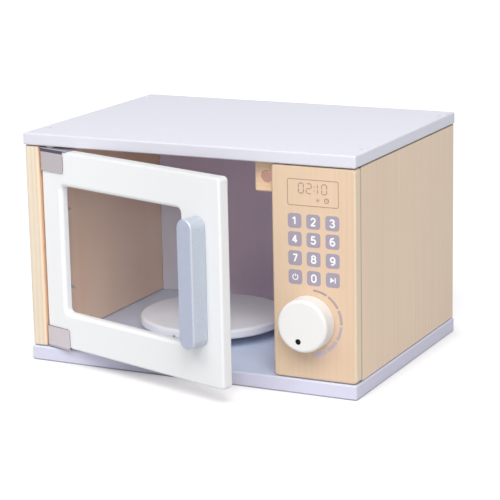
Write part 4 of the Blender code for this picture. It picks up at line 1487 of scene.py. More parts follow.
@dataclass
class Case(Assembly):
    """The boards of the case, and the screws and plugs that hold them."""

    board_edge: float = 0.0014
    board_corner: float = 0.0020
    side_edge: float = 0.0018
    inner_edge: float = 0.0010
    plug_edge: float = 0.0002
    plug_dish: float = 0.0006
    plug_dish_radius: float = 0.0021
    plug_dish_share: float = 0.9
    plug_gap_share: float = 0.1
    pocket_radius: float = 0.0043
    pocket_edge: float = 0.00025
    head_depth: float = 0.0049
    bush_pocket: float = 0.0036
    bush_depth: float = 0.0061
    table_pocket: float = 0.0081
    table_pocket_depth: float = 0.0056
    table_bore: float = 0.0031
    corner_share: float = 1.05
    top_screws: int = 4
    base_screws: int = 6

    def _middle(self, node: str, place: Placement) -> Array:
        """Where a node's axis meets a board's face, in the board's lengths."""
        low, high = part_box(node)
        return place.to_local(tuple((low + high) / 2))

    def top(self) -> None:
        """The top board, with a pocket over each screw and one below for the door's bush."""
        stock, soft = self.space.stock("top_panel", Facing.UP), self.pocket_edge
        holes = []
        for node in numbered("top_plug", self.top_screws):
            circle = Outline.circle(self.pocket_radius, self._middle(node, stock.place), steps=48)
            holes.append(Hole.blind(circle, self.head_depth, self.plug_edge / 2, soft))
        bush = Outline.circle(self.bush_pocket, self._middle("pivot_bush_top", stock.place), steps=40)
        holes.append(Hole.from_behind(bush, stock.depth, self.bush_depth, soft, soft))
        board = plate(stock, self.board_corner, (self.board_edge, self.board_edge), holes)
        self.put(board, "top_board", stock, self.finishes.lavender, "case")

    def base(self) -> None:
        """The base board, with head pockets, the turntable's stepped hole and the lower bush's pocket."""
        stock = self.space.stock("base_panel", Facing.UP)
        depth, soft = stock.depth, self.pocket_edge
        shell = Shell()
        outline = Outline.about(stock.width, stock.height, self.board_corner)
        top, under = shell.wall(outline, Section.rim(depth, self.board_edge, self.board_edge))
        tops, unders = [top], [under]
        bush = Outline.circle(self.bush_pocket, self._middle("pivot_bush_bottom", stock.place), steps=40)
        Hole.blind(bush, self.bush_depth, soft, soft).cut(shell, tops, unders)
        for node in numbered("base_screw", self.base_screws):
            circle = Outline.circle(self.pocket_radius, self._middle(node, stock.place), steps=40)
            Hole.from_behind(circle, depth, self.head_depth, soft, soft).cut(shell, tops, unders)
        centre = self._middle("turntable_bolt", stock.place)
        step = self.table_pocket_depth - depth
        pocket = Outline.circle(self.table_pocket, centre, steps=48)
        bore = Outline.circle(self.table_bore, centre, steps=48)
        rim, shelf = shell.wall(pocket, Section.riser(-depth, soft, step, -soft))
        inner, mouth = shell.wall(bore, Section.riser(step, soft, 0.0, soft))
        shell.cap(shelf, inner, up=False)
        shell.cap(*tops, mouth, up=True)
        shell.cap(*unders, rim, up=False)
        self.put(shell, "base_board", stock, self.finishes.floor, "case")

    def upright(self, node: str, facing: Facing, edge: float, coat: Coat) -> None:
        """A plain board that stands on the base.

        Args:
            node: The node that it stands for.
            facing: The side that its main face looks to.
            edge: The radius of its edges.
            coat: Its finish.
        """
        stock = self.space.stock(node, facing)
        board = plate(stock, edge * self.corner_share, (edge, edge))
        self.put(board, node.replace("panel", "board"), stock, coat, "case")

    def plugs(self) -> None:
        """The plugs in the top board, each with a shallow dish where its filler has sunk."""
        radius, dish = self.pocket_radius - self.plug_gap_share * self.plug_edge, self.plug_dish_radius
        soft = self.plug_dish / 2 * self.plug_dish_share
        for node in numbered("top_plug", self.top_screws):
            stock = self.space.stock(node, Facing.UP)
            corners = [(0.0, -self.plug_dish), (dish, -self.plug_dish), (dish, 0.0), (radius, 0.0)]
            corners += [(radius, -stock.depth), (0.0, -stock.depth)]
            plug = turned(corners, (0.0, soft, soft, self.plug_edge / 2, self.plug_edge, 0.0))
            name = node.replace("top", "top_board")
            self.put(plug, name, stock, self.finishes.plug, "case")

    def build(self) -> None:
        """Make the whole case."""
        self.top()
        self.base()
        for side, facing, edge, coat in (
            ("left_side", Facing.LEFT, self.side_edge, self.finishes.board_wood),
            ("right_side", Facing.RIGHT, self.inner_edge, self.finishes.ply),
            ("back", Facing.BACK, self.inner_edge, self.finishes.grey),
            ("divider", Facing.LEFT, self.inner_edge, self.finishes.grey),
        ):
            self.upright(f"{side}_panel", facing, edge, coat)
        self.plugs()
        self.drive(numbered("top_screw", self.top_screws), Facing.UP, "case")
        self.drive(numbered("base_screw", self.base_screws), Facing.DOWN, "case")


@dataclass(frozen=True)
class Stroke:
    """One pen stroke of a digit, as shares of its size; the radii are shares of its width."""

    corner_shares: tuple[Pair, ...]
    radius_shares: Union[float, tuple[float, ...]]
    closed: bool = False


DIGIT_SHARES: dict[str, tuple[Stroke, ...]] = {
    "0": (Stroke(((0, 0), (1, 0), (1, 1), (0, 1)), 0.5, True),),
    "1": (Stroke(((0.04, 0.76), (0.58, 1.0), (0.58, 0)), (0, 0.06, 0)),),
    "2": (
        Stroke(
            ((0.05, 0.74), (0.05, 1), (0.95, 1), (0.95, 0.6), (0.03, 0), (1, 0)),
            (0, 0.42, 0.45, 0.5, 0.02, 0),
        ),
    ),
    "3": (
        Stroke(((0.05, 0.8), (0.08, 1), (0.92, 1), (0.92, 0.53), (0.34, 0.53)), (0, 0.3, 0.4, 0.4, 0)),
        Stroke(((0.34, 0.53), (1, 0.53), (1, 0), (0, 0), (0, 0.22)), (0, 0.44, 0.48, 0.36, 0)),
    ),
    "4": (
        Stroke(((0.68, -0.04), (0.68, 1.04)), 0),
        Stroke(((0.7, 0.98), (-0.02, 0.27), (1.08, 0.27)), (0, 0.05, 0)),
    ),
    "5": (
        Stroke(
            ((0.94, 1), (0.16, 1), (0.06, 0.52), (0.98, 0.68), (0.98, 0), (0, 0), (0, 0.2)),
            (0, 0.05, 0.05, 0.46, 0.48, 0.36, 0),
        ),
    ),
    "6": (
        Stroke(((0, 0), (1, 0), (1, 0.6), (0, 0.6)), 0.48, True),
        Stroke(((0, 0.3), (0, 1), (0.88, 1)), (0, 0.66, 0)),
    ),
    "7": (Stroke(((0, 0.99), (1, 0.99), (0.34, 0)), (0, 0.06, 0)),),
    "8": (
        Stroke(((0, 0), (1, 0), (1, 0.54), (0, 0.54)), 0.42, True),
        Stroke(((0.08, 0.54), (0.92, 0.54), (0.92, 1), (0.08, 1)), 0.36, True),
    ),
    "9": (
        Stroke(((0, 0.4), (1, 0.4), (1, 1), (0, 1)), 0.48, True),
        Stroke(((1, 0.7), (1, 0), (0.12, 0)), (0, 0.66, 0)),
    ),
}

SEGMENT_SHARES: dict[str, tuple[float, float, bool]] = {
    "top": (0.5, 1.0, True),
    "middle": (0.5, 0.5, True),
    "bottom": (0.5, 0.0, True),
    "upper_left": (0.0, 0.75, False),
    "upper_right": (1.0, 0.75, False),
    "lower_left": (0.0, 0.25, False),
    "lower_right": (1.0, 0.25, False),
}

LIT_SEGMENTS: dict[str, tuple[str, ...]] = {
    "0": ("top", "bottom", "upper_left", "upper_right", "lower_left", "lower_right"),
    "1": ("upper_right", "lower_right"),
    "2": ("top", "middle", "bottom", "upper_right", "lower_left"),
}


@dataclass
class Printer:
    """Prints flat signs on a face: each is a thin plate, half in the surface under it."""

    place: Placement
    thickness: float = 0.00012
    sunk: float = 0.00006
    layer_share: float = 0.02
    band_step: float = math.radians(7.0)

    def __post_init__(self) -> None:
        """Start with nothing printed."""
        self.shell = Shell()
        self.layer = 0.0

    def plate(self, outer: Array, *holes: Array) -> None:
        """Print one flat shape.

        Args:
            outer: The outline's points, anticlockwise.
            holes: The points of each hole, anticlockwise.
        """
        top, bottom = self.thickness - self.sunk + self.layer, -self.sunk
        tops, bottoms = [], []
        for number, loop in enumerate((outer, *holes)):
            points = np.stack([np.column_stack([loop, np.full(len(loop), z)]) for z in (top, bottom)], axis=1)
            index = self.shell.add(points, np.zeros(3) + (0.0, 0.0, 1.0))
            self.shell.grid(index if number == 0 else index[::-1], around=True)
            tops.append(index[:, 0])
            bottoms.append(index[:, 1])
        self.shell.cap(*tops, up=True)
        self.shell.cap(*bottoms, up=False)

    def stroke(self, corners: Array, radii: Union[float, Array], width: float, closed: bool = False) -> None:
        """Print a line of even width: its two sides lie half the width to the left and right of travel.

        A side's corner has the line's radius plus or minus half the width, but never less than 0.

        Args:
            corners: The line's corners.
            radii: The radii of its corners.
            width: Its width.
            closed: Whether it closes on itself.
        """
        right, left = (
            fillet(self._beside(corners, shift, closed), self._radii(corners, radii, shift), 7, closed)[0]
            for shift in (width / 2, -width / 2)
        )
        if closed:
            self.plate(right, left)
        else:
            self.plate(np.concatenate([right, left[::-1]]))
        self.layer += self.layer_share * self.thickness

    def _radii(self, corners: Array, radii: Union[float, Array], shift: float) -> Array:
        """The radii of a side's corners: larger on the outside of a turn, smaller on its inside."""
        return np.maximum(radii + np.sign(bends(*ways(corners))) * shift, 0.0)

    def _beside(self, corners: Array, shift: float, closed: bool) -> Array:
        """A line's corners moved to its right: at a corner by shift over the cosine of half its turn.

        Args:
            corners: The corners.
            shift: How far the line moves.
            closed: Whether it closes on itself.

        Returns:
            The moved corners.
        """
        into, out = ways(corners)
        if not closed:
            into[0], out[-1] = out[0], into[-1]
        middle = into + out
        right = np.stack([middle[:, 1], -middle[:, 0]], axis=1)
        return corners + shift * 2 * right / (middle * middle).sum(axis=1, keepdims=True)

    def sign(self, text: str, centre: Pair, size: Pair, width: float) -> None:
        """Print one digit with pen strokes.

        Args:
            text: The digit.
            centre: Where its middle lies.
            size: The width and height of its centre lines.
            width: The pen's width.
        """
        self.layer = 0.0
        for stroke in DIGIT_SHARES[text]:
            corners = (np.array(stroke.corner_shares) - 0.5) * size + centre
            self.stroke(corners, np.asarray(stroke.radius_shares) * size[0], width, stroke.closed)

    def segments(self, text: str, corner: Pair, size: Pair, width: float, gap: float) -> None:
        """Print one digit with the seven segments of a clock.

        Args:
            text: The digit.
            corner: Its lower left corner.
            size: Its width and height.
            width: A segment's width.
            gap: The gap between two segments.
        """
        half = width / 2
        for name in LIT_SEGMENTS[text]:
            across, up, flat = SEGMENT_SHARES[name]
            middle = np.array(corner) + np.array((across, up)) * size
            end = size[0] / 2 - gap if flat else size[1] / 4 - gap
            near = end - half
            corners = [(-end, 0), (-near, -half), (near, -half), (end, 0), (near, half), (-near, half)]
            shape = np.array(corners if flat else [(-y, x) for x, y in corners])
            self.plate(shape + middle)

    def band(
        self, centre: Pair, radius: float, width: float, start: float, end: float, lean: float = 0.0
    ) -> None:
        """Print part of a ring: its sides lie half the width outside and inside the radius.

        The radius grows by the lean times the sine of twice the angle, which makes the ring lean.

        Args:
            centre: The ring's centre.
            radius: The radius of its middle line.
            width: Its width.
            start: The angle that it starts at.
            end: The larger angle that it ends at.
            lean: How much the ring leans.
        """
        angle = np.linspace(start, end, 1 + math.ceil((end - start) / self.band_step))[:, None]
        around = np.concatenate([np.cos(angle), np.sin(angle)], axis=1)
        reach = radius * (1.0 + lean * np.sin(2 * angle))
        outer = around * (reach + width / 2)
        inner = (around * (reach - width / 2))[::-1]
        self.plate(np.concatenate([outer, inner]) + centre)

    def piece(self, name: str) -> bpy.types.Object:
        """The printed signs as one piece."""
        return self.shell.piece(name, self.place, smooth=False)


@dataclass
class ControlPanel(Assembly):
    """The board with the printed display, keys and power scale."""

    edge: float = 0.0021
    corner: float = 0.0036
    back_edge: float = 0.0009
    bolt_hole: float = 0.0031
    hole_edge: float = 0.0002
    display_low: Pair = (0.0917, 0.1530)
    display_high: Pair = (0.1347, 0.1737)
    display_radius: float = 0.0014
    line: float = 0.00058
    time_lefts: tuple[float, ...] = (0.1011, 0.1078, 0.1131, 0.1208)
    time_texts: str = "0210"
    time_bottom: float = 0.1629
    time_size: Pair = (0.0042, 0.0077)
    time_width: float = 0.00098
    time_gap: float = 0.00022
    colon_x: float = 0.1145
    colon_radius: float = 0.00050
    colon_shares: Pair = (0.3, 0.7)
    icon_height: float = 0.1580
    sun_x: float = 0.1174
    sun_radius: float = 0.0007
    sun_rays: int = 8
    ray_ends: Pair = (0.00105, 0.0016)
    ray_pen: float = 0.0004
    clock_x: float = 0.1248
    clock_radii: Pair = (0.0021, 0.0014)
    clock_hands: tuple[Pair, ...] = ((0.0, 0.0011), (0.0, 0.0), (0.0008, 0.0))
    hand_pen: float = 0.0005
    key_columns: tuple[float, ...] = (0.0974, 0.1133, 0.1295)
    key_rows: tuple[float, ...] = (0.1406, 0.1260, 0.1107, 0.0954)
    key_side: float = 0.0118
    key_radius: float = 0.0026
    key_lift: float = 0.00012
    key_edges: Pair = (0.8, 0.2)
    digit_size: Pair = (0.0035, 0.0057)
    digit_pen: float = 0.00125
    power_gap: float = math.radians(30.0)
    power_radius: float = 0.0022
    power_pen: float = 0.0008
    power_bar: tuple[Pair, ...] = ((0.0, 0.0005), (0.0, 0.0027))
    next_triangle: tuple[Pair, ...] = ((-0.0022, -0.0023), (0.0014, 0.0), (-0.0022, 0.0023))
    next_corner: float = 0.0003
    next_bar: tuple[Pair, ...] = ((0.0020, -0.0022), (0.0020, 0.0022))
    next_pen: float = 0.0009
    scale_shift: Pair = (0.0006, -0.0006)
    scale_radius: float = 0.0265
    scale_end: float = math.radians(84.0)
    scale_gap: float = math.radians(3.4)
    scale_widths: tuple[float, ...] = (0.0017, 0.0020, 0.0023, 0.0024, 0.0028, 0.0031)
    scale_lean: float = 0.034
    scale_brown: Colour = (0.41, 0.295, 0.29)
    scale_pale: Colour = (0.57, 0.51, 0.61)
    scale_fade: float = 1.5

    def board(self) -> None:
        """The board itself, with a hole for the knob's bolt."""
        stock = self.space.stock("control_panel", Facing.FRONT)
        circle = Outline.circle(self.bolt_hole, stock.place.to_local(self._knob_centre()), steps=40)
        hole = Hole.through(circle, stock.depth, self.hole_edge)
        board = plate(stock, self.corner, (self.edge, self.back_edge), [hole])
        self.put(board, "control_board", stock, self.finishes.panel_wood, "case")

    def _knob_centre(self) -> tuple[float, float, float]:
        """The knob's axis.

        Returns:
            The point where it meets the board's face.
        """
        low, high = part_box("knob_bolt")
        middle = (low + high) / 2
        return (middle.x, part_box("control_panel")[0].y, middle.z)

    def _printer(self, lift: float = 0.0) -> Printer:
        """A printer on the board's face, with the frame's X and Z as its lengths."""
        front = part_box("control_panel")[0].y
        return Printer(Placement(np.array([0.0, front - lift, 0.0]), np.array(Facing.FRONT.value, float)))

    def _dress(self, printer: Printer, name: str, ink: Coat) -> None:
        """Finish a print."""
        self.shop.dress(printer.piece(name), ink, "case")

    def display(self) -> None:
        """The display's frame, the time in clock segments, and two small signs under it."""
        edge, time, icons = self._printer(), self._printer(), self._printer()
        low, high = self.display_low, self.display_high
        corners = np.array([low, (high[0], low[1]), high, (low[0], high[1])])
        edge.stroke(corners, self.display_radius, self.line, closed=True)
        self._dress(edge, "display_frame", self.finishes.line_ink)
        for left, text in zip(self.time_lefts, self.time_texts):
            time.segments(text, (left, self.time_bottom), self.time_size, self.time_width, self.time_gap)
        for share in self.colon_shares:
            spot = (self.colon_x, self.time_bottom + share * self.time_size[1])
            time.plate(Outline.circle(self.colon_radius, spot, steps=16).points)
        self._dress(time, "display_time", self.finishes.time_ink)
        sun, clock = (self.sun_x, self.icon_height), (self.clock_x, self.icon_height)
        icons.plate(Outline.circle(self.sun_radius, sun, steps=20).points)
        for ray in range(self.sun_rays):
            angle = ray * math.tau / self.sun_rays
            way = np.array([math.cos(angle), math.sin(angle)])
            icons.stroke(np.array([way * end for end in self.ray_ends]) + sun, 0.0, self.ray_pen)
        icons.plate(*(Outline.circle(radius, clock, steps=32).points for radius in self.clock_radii))
        icons.stroke(np.array(self.clock_hands) + clock, 0.0, self.hand_pen)
        self._dress(icons, "display_signs", self.finishes.line_ink)

    def keys(self) -> None:
        """Twelve printed keys with the digits, a power sign and a next sign on them."""
        lift = self.key_lift
        front = self._printer().place
        labels = ("1", "2", "3", "4", "5", "6", "7", "8", "9", "power", "0", "next")
        spots = [(x, z) for z in self.key_rows for x in self.key_columns]
        for label, spot in zip(labels, spots):
            outline = Outline.about(self.key_side, self.key_side, self.key_radius)
            key = slab(outline, 2 * lift, (lift * self.key_edges[0], lift * self.key_edges[1]))
            item = key.piece(f"key_{label}", front.moved(*spot, lift))
            self.shop.dress(item, self.finishes.key_ink, "case")
            printer = self._printer(lift)
            if label == "power":
                self._power_sign(printer, spot)
            elif label == "next":
                self._next_sign(printer, spot)
            else:
                printer.sign(label, spot, self.digit_size, self.digit_pen)
            self._dress(printer, f"key_{label}_sign", self.finishes.digit_ink)

    def _power_sign(self, printer: Printer, centre: Pair) -> None:
        """An open ring with a short bar in its gap.

        Args:
            printer: What prints it.
            centre: Where its middle lies.
        """
        start = math.pi / 2 + self.power_gap
        end = math.pi / 2 + math.tau - self.power_gap
        printer.band(centre, self.power_radius, self.power_pen, start, end)
        printer.stroke(np.array(self.power_bar) + centre, 0.0, self.power_pen)

    def _next_sign(self, printer: Printer, centre: Pair) -> None:
        """A triangle that points to a bar."""
        printer.plate(Outline.polygon(self.next_triangle, self.next_corner, steps=3).points + centre)
        printer.stroke(np.array(self.next_bar) + centre, 0.0, self.next_pen)

    def scale(self) -> None:
        """The power scale round the knob: bands that grow wider and paler as the angle falls."""
        x, _, z = self._knob_centre()
        middle = (x + self.scale_shift[0], z + self.scale_shift[1])
        parts = len(self.scale_widths)
        turn = (2 * self.scale_end + self.scale_gap) / parts
        brown, pale = np.array(self.scale_brown), np.array(self.scale_pale)
        for number, width in enumerate(self.scale_widths):
            end = self.scale_end - number * turn
            start = end - turn + self.scale_gap
            printer = self._printer()
            printer.band(middle, self.scale_radius, width, start, end, self.scale_lean)
            tint = brown + (pale - brown) * (number / (parts - 1)) ** self.scale_fade
            ink = InkFinish(f"scale_ink_{number + 1}", tuple(tint.tolist())).coat("grey_paint")
            self._dress(printer, f"power_scale_{number + 1}", ink)

    def build(self) -> None:
        """Make the whole panel."""
        self.board()
        self.display()
        self.keys()
        self.scale()


@dataclass
class Dial(Assembly):
    """The knob with its dot, and the bolt, washers and nut that hold it."""

    front_radius: float = 0.0209
    rim: float = 0.0028
    rim_reach: float = 1.2
    foot: float = 0.0008
    recess: float = 0.0088
    recess_depth: float = 0.0015
    recess_edge: float = 0.0002
    swell: float = 0.0004
    dot_rim: float = 0.00025
    dot_dish: float = 0.0005
    dot_edge: float = 0.0001
    dot_share: float = 0.8
    dot_round: float = 0.2
    bore: float = 0.0033
    front_bore: float = 0.0031

    def knob(self) -> None:
        """The knob: a slightly tapered drum with a rounded rim, a hole for the dot and a recess behind."""
        stock = self.space.stock("knob", Facing.FRONT)
        dot = self.space.stock("knob_dot", Facing.FRONT)
        shell = Shell()
        radius, face = stock.width / 2 + self.swell, self.front_radius + self.swell
        bottom, ceiling = -stock.depth, -stock.depth + self.recess_depth
        corners = [
            (face - self.rim_reach * self.rim, 0.0),
            (face, 0.0),
            (radius, bottom),
            (self.recess, bottom),
            (self.recess, ceiling),
            (self.recess / 2, ceiling),
        ]
        radii = (0.0, self.rim, self.foot, self.recess_edge, self.recess_edge, 0.0)
        front, back = shell.wall(Outline.axis(128), Section.path(corners, radii, steps=8))
        fronts = [front]
        centre = stock.place.to_local(dot.place.origin)
        circle = Outline.circle(dot.width / 2 + self.dot_edge, centre, steps=48)
        Hole.blind(circle, dot.depth, self.dot_rim, self.dot_edge).cut(shell, fronts, [])
        shell.cap(*fronts, up=True)
        shell.pole(back, ceiling, up=False)
        self.put(shell, "dial_knob", stock, self.finishes.cream, "dial")

    def dot(self) -> None:
        """The black dot, a plug with a dished face."""
        stock = self.space.stock("knob_dot", Facing.FRONT)
        radius, depth, edge, share = stock.width / 2, stock.depth, self.dot_edge, self.dot_share
        corners = [(0.0, -self.dot_dish), (radius * share, -self.dot_dish * share), (radius, -edge)]
        corners += [(radius, -depth), (0.0, -depth)]
        shell = turned(corners, (0.0, radius * self.dot_round, edge, edge, 0.0))
        self.put(shell, "dial_dot", stock, self.finishes.black, "dial")

    def fasteners(self) -> None:
        """The bolt, its washers and its lock nut."""
        names = ("knob_bolt", "knob_front_washer", "knob_rear_washer", "knob_lock_nut")
        bolt, front, rear, nut = (self.space.stock(name, Facing.FRONT) for name in names)
        self.hardware.pin(bolt, "dial")
        self.hardware.washer(front, "case", self.front_bore, self.finishes.nylon)
        self.hardware.washer(rear, "dial", self.bore)
        self.hardware.nut(nut, "dial", self.bore)

    def build(self) -> None:
        """Make the whole dial."""
        self.knob()
        self.dot()
        self.fasteners()


@dataclass
class Door(Assembly):
    """The door: its frame, window, glazing points, handle and strike plate."""

    screw_shank: float = 0.0016
    screw_head: float = 0.0020
    corner: float = 0.0032
    edge: float = 0.0022
    back_edge: float = 0.0020
    stile: float = 0.0232
    far_stile: float = 0.0436
    lower_rail: float = 0.0307
    upper_rail: float = 0.0295
    window_corner: float = 0.0040
    window_edge: float = 0.0034
    rebate: float = 0.0050
    rebate_corner: float = 0.0030
    rebate_floor: float = 0.0072
    soft: float = 0.0003
    head_radius: float = 0.0037
    head_depth: float = 0.0023
    point_inset: float = 0.0009
    point_corner: float = 0.0014
    points: int = 8
    handle_edge: float = 0.0016
    handle_back_edge: float = 0.0005
    strike_hole: float = 0.0027
    strike_gap: float = 0.0003
    strike_corner: float = 0.0008
    strike_edges: Pair = (0.0002, 0.0001)
    strike_shank: float = 0.0012
    strike_head: float = 0.0013
    pane_edge: float = 0.0002
    point_edge: float = 0.00012

    def leaf(self) -> None:
        """The frame: an outer wall, a window wall from the face to the rebate, and the rebate's own wall."""
        stock = self.space.stock("door_frame", Facing.FRONT)
        depth, soft, floor = stock.depth, self.soft, -self.rebate_floor
        half = np.array((stock.width, stock.height)) / 2
        low = np.array((self.stile, self.lower_rail)) - half
        high = half - np.array((self.far_stile, self.upper_rail))
        shell = Shell()
        outer = Outline.about(stock.width, stock.height, self.corner)
        front, back = shell.wall(outer, Section.rim(depth, self.edge, self.back_edge, steps=8))
        corners = [(2 * soft, floor), (0.0, floor), (0.0, 0.0), (PAST_EDGE * self.window_edge, 0.0)]
        sill, mouth = shell.wall(
            Outline.box(low, high, self.window_corner),
            Section.path(corners, (0.0, soft, self.window_edge, 0.0), steps=8),
        )
        rim, ledge = shell.wall(
            Outline.box(low - self.rebate, high + self.rebate, self.rebate_corner),
            Section.riser(-depth, soft, floor, -soft),
        )
        shell.cap(ledge, sill, up=False)
        shell.cap(front, mouth, up=True)
        backs = [back, rim]
        for name in numbered("handle_screw", 2):
            head = self.space.stock(name, Facing.BACK)
            circle = Outline.circle(self.head_radius, stock.place.to_local(head.place.origin), steps=40)
            Hole.from_behind(circle, depth, self.head_depth, soft / 2, soft / 2).cut(shell, [], backs)
        strike = self.space.stock("strike_plate", Facing.BACK)
        centre = stock.place.to_local(strike.place.origin)[:2]
        reach = np.array((strike.width, strike.height)) / 2 + self.strike_gap
        pocket = Outline.box(centre - reach, centre + reach, 2 * self.strike_gap)
        deep = strike.depth + self.strike_gap
        Hole.from_behind(pocket, depth, deep, soft / 2, soft / 2).cut(shell, [], backs)
        shell.cap(*backs, up=False)
        self.put(shell, "door_leaf", stock, self.finishes.white, "door")

    def window(self) -> None:
        """The clear sheet, and the metal points that hold it."""
        stock = self.space.stock("window_pane", Facing.FRONT)
        sheet = plate(stock, self.rebate_corner, (self.pane_edge, self.pane_edge))
        self.put(sheet, "window_sheet", stock, self.finishes.clear, "door")
        inset = 2 * self.point_inset
        for node in numbered("glazing_point", self.points):
            stock = self.space.stock(node, Facing.BACK)
            outline = Outline.about(stock.width - inset, stock.height - inset, self.point_corner)
            point = slab(outline, stock.depth, (self.point_edge, self.point_edge))
            self.put(point, node.replace("point", "tab"), stock, self.finishes.zinc, "door")

    def handle(self) -> None:
        """The handle, a bar with half-round ends, and the screws that hold it from behind."""
        stock = self.space.stock("door_handle", Facing.FRONT)
        bar = plate(stock, stock.width / 2, (self.handle_edge, self.handle_back_edge), steps=20)
        self.put(bar, "handle_bar", stock, self.finishes.silver, "door")
        self.drive(numbered("handle_screw", 2), Facing.BACK, "door")

    def strike(self) -> None:
        """The strike plate let into the door's back, and its countersunk screw."""
        stock = self.space.stock("strike_plate", Facing.BACK)
        hole = Hole.through(Outline.circle(self.strike_hole, steps=40), stock.depth, self.strike_edges[0])
        strike = plate(stock, self.strike_corner, self.strike_edges, [hole])
        self.put(strike, "strike", stock, self.finishes.zinc, "door")
        screw = self.space.stock("strike_screw", Facing.BACK)
        self.hardware.screw(screw, "door", self.strike_shank, self.strike_head)

    def build(self) -> None:
        """Make the whole door."""
        self.leaf()
        self.window()
        self.handle()
        self.strike()


@dataclass
class Hinges(Assembly):
    """The two sheet-metal clips on the door's corners, and the pins and bushes that the door turns on."""

    screw_shank: float = 0.0012
    screw_head: float = 0.0012
    case: Space = field(default_factory=Space)
    sheet: float = 0.0008
    bend: float = 0.0028
    free_corner: float = 0.0018
    slits: Pair = (0.0026, 0.0002)
    drop: float = 0.0018
    tab_reach: float = 0.0042
    tab_corner: float = 0.0012
    neck_sheet: float = 0.0003
    neck_gap: float = 0.0004
    neck_show: float = 0.0003
    sheet_edge: float = 0.0002
    sheet_edge_share: float = 0.4
    bore: float = 0.0021
    bush: float = 0.0034
    flange: float = 0.0007
    bush_edge: float = 0.00012
    pin_gap: float = 0.0002
    hole_edge: float = 0.0001

    def _wrap(self, stock: Stock, levels: Pair, sheet: float, deep: float, stations: int = 12) -> Shell:
        """A strip of sheet that wraps the door's edge, from the front's free end round to the back's.

        The path is a U in plan, and the strip's section a thin upright rectangle that is carried along it.
        Towards each free end its half height falls as a quarter circle's does, which rounds the free corners.

        Args:
            stock: The clip's block, seen from above.
            levels: The heights of the strip's lower and upper edge.
            sheet: How thick it is.
            deep: How far it lies inside the block's faces.
            stations: How many steps an end's rounding has.

        Returns:
            The shell.
        """
        inset = deep + sheet / 2
        end, near, side = stock.width / 2 - deep, inset - stock.width / 2, stock.height / 2 - inset
        corners = [(end, -side), (near, -side), (near, side), (end, side)]
        path, along = fillet(corners, self.bend - inset, 10, closed=False)
        length = np.concatenate([[0.0], np.cumsum(np.linalg.norm(np.diff(path, axis=0), axis=1))])
        turn = np.linspace(0.0, math.pi / 2, stations)
        start = self.free_corner * (1 - np.cos(turn))
        where = np.concatenate([start, length[1:-1], (length[-1] - start)[::-1]])
        x, y = (np.interp(where, length, path[:, axis]) for axis in (0, 1))
        tx, ty = (np.interp(where, length, along[:, axis]) for axis in (0, 1))
        travel = unit(np.stack([tx, ty], axis=1))
        outward = np.stack([-travel[:, 1], travel[:, 0]], axis=1)
        fall, straight = 1 - np.sin(turn), np.zeros(len(length) - 2)
        cut = np.concatenate([fall, straight, fall[::-1]]) * self.free_corner
        lean = np.concatenate([np.cos(turn), straight, -np.cos(turn)[::-1]])
        edge = min(self.sheet_edge, self.sheet_edge_share * sheet)
        rim = Outline.about(sheet, levels[1] - levels[0], edge, steps=3)
        rise = rim.points[:, 1]
        height = sum(levels) / 2 + np.sign(rise) * (np.abs(rise)[None] - cut[:, None])
        flat = np.stack([x, y], axis=1)[:, None] - outward[:, None] * rim.points[None, :, :1]
        points = np.concatenate([flat, height[..., None]], axis=-1)
        upright = rim.normals[:, 1][None, :] * np.sqrt(1 - lean[:, None] ** 2)
        slant = np.abs(rim.normals[:, 1])[None, :] * -lean[:, None]
        flat_normal = -outward[:, None] * rim.normals[None, :, :1] + travel[:, None] * slant[..., None]
        shell = Shell()
        index = shell.add(points, np.concatenate([flat_normal, upright[..., None]], axis=-1))
        shell.grid(index[:, ::-1], around=False, onward=True)
        for loop in (index[0], index[-1][::-1]):
            shell.end(loop)
        return shell

    def clip(self, level: str, up: int) -> None:
        """One clip: the strip round the door's edge, its neck, a dark sheet painted as the shadow in the
        slit, and a flat tab with the pin's hole.

        Args:
            level: The clip's level, top or bottom.
            up: 1 where the clip is at the door's upper end, and -1 at its lower.
        """
        stock = self.space.stock(f"hinge_clip_{level}", Facing.UP)
        if up > 0:
            high = -self.sheet - self.slits[0]
            strip_levels, neck_levels = (-stock.depth - self.drop, high), (high - self.neck_show, -self.sheet)
            coat, place, reach = self.finishes.nickel, stock.place, self.tab_reach
        else:
            low = self.sheet + self.slits[1] - stock.depth
            strip_levels, neck_levels = (low, 0.0), (-stock.depth / 2, self.neck_show)
            place = stock.place.moved(out=self.sheet - stock.depth)
            coat, reach = self.finishes.pale_nickel, 0.0
        strip = self._wrap(stock, strip_levels, self.sheet, 0.0)
        self.put(strip, f"clip_{level}_strip", stock, coat, "door")
        # The neck is painted shadow: a dark sheet inside the strip that shows as the shaded slit at its edge.
        neck = self._wrap(stock, neck_levels, self.neck_sheet, self.neck_gap)
        self.shop.dress(neck.piece(f"clip_{level}_neck", stock.place), self.finishes.shaded, "door")
        pin = self.space.stock(f"pivot_pin_{level}", Facing.UP)
        centre = stock.place.to_local(pin.place.origin)
        circle = Outline.circle(pin.width / 2 + self.pin_gap, centre, steps=32)
        hole = Hole.through(circle, self.sheet, self.hole_edge)
        radii = (self.bend, self.tab_corner, self.tab_corner, self.bend)
        half = (stock.width / 2, stock.height / 2)
        outline = Outline.box((-half[0], -half[1]), (half[0] + reach, half[1]), radii)
        tab = slab(outline, self.sheet, (self.sheet_edge, self.sheet_edge), [hole])
        self.shop.dress(tab.piece(f"clip_{level}_tab", place), coat, "door")

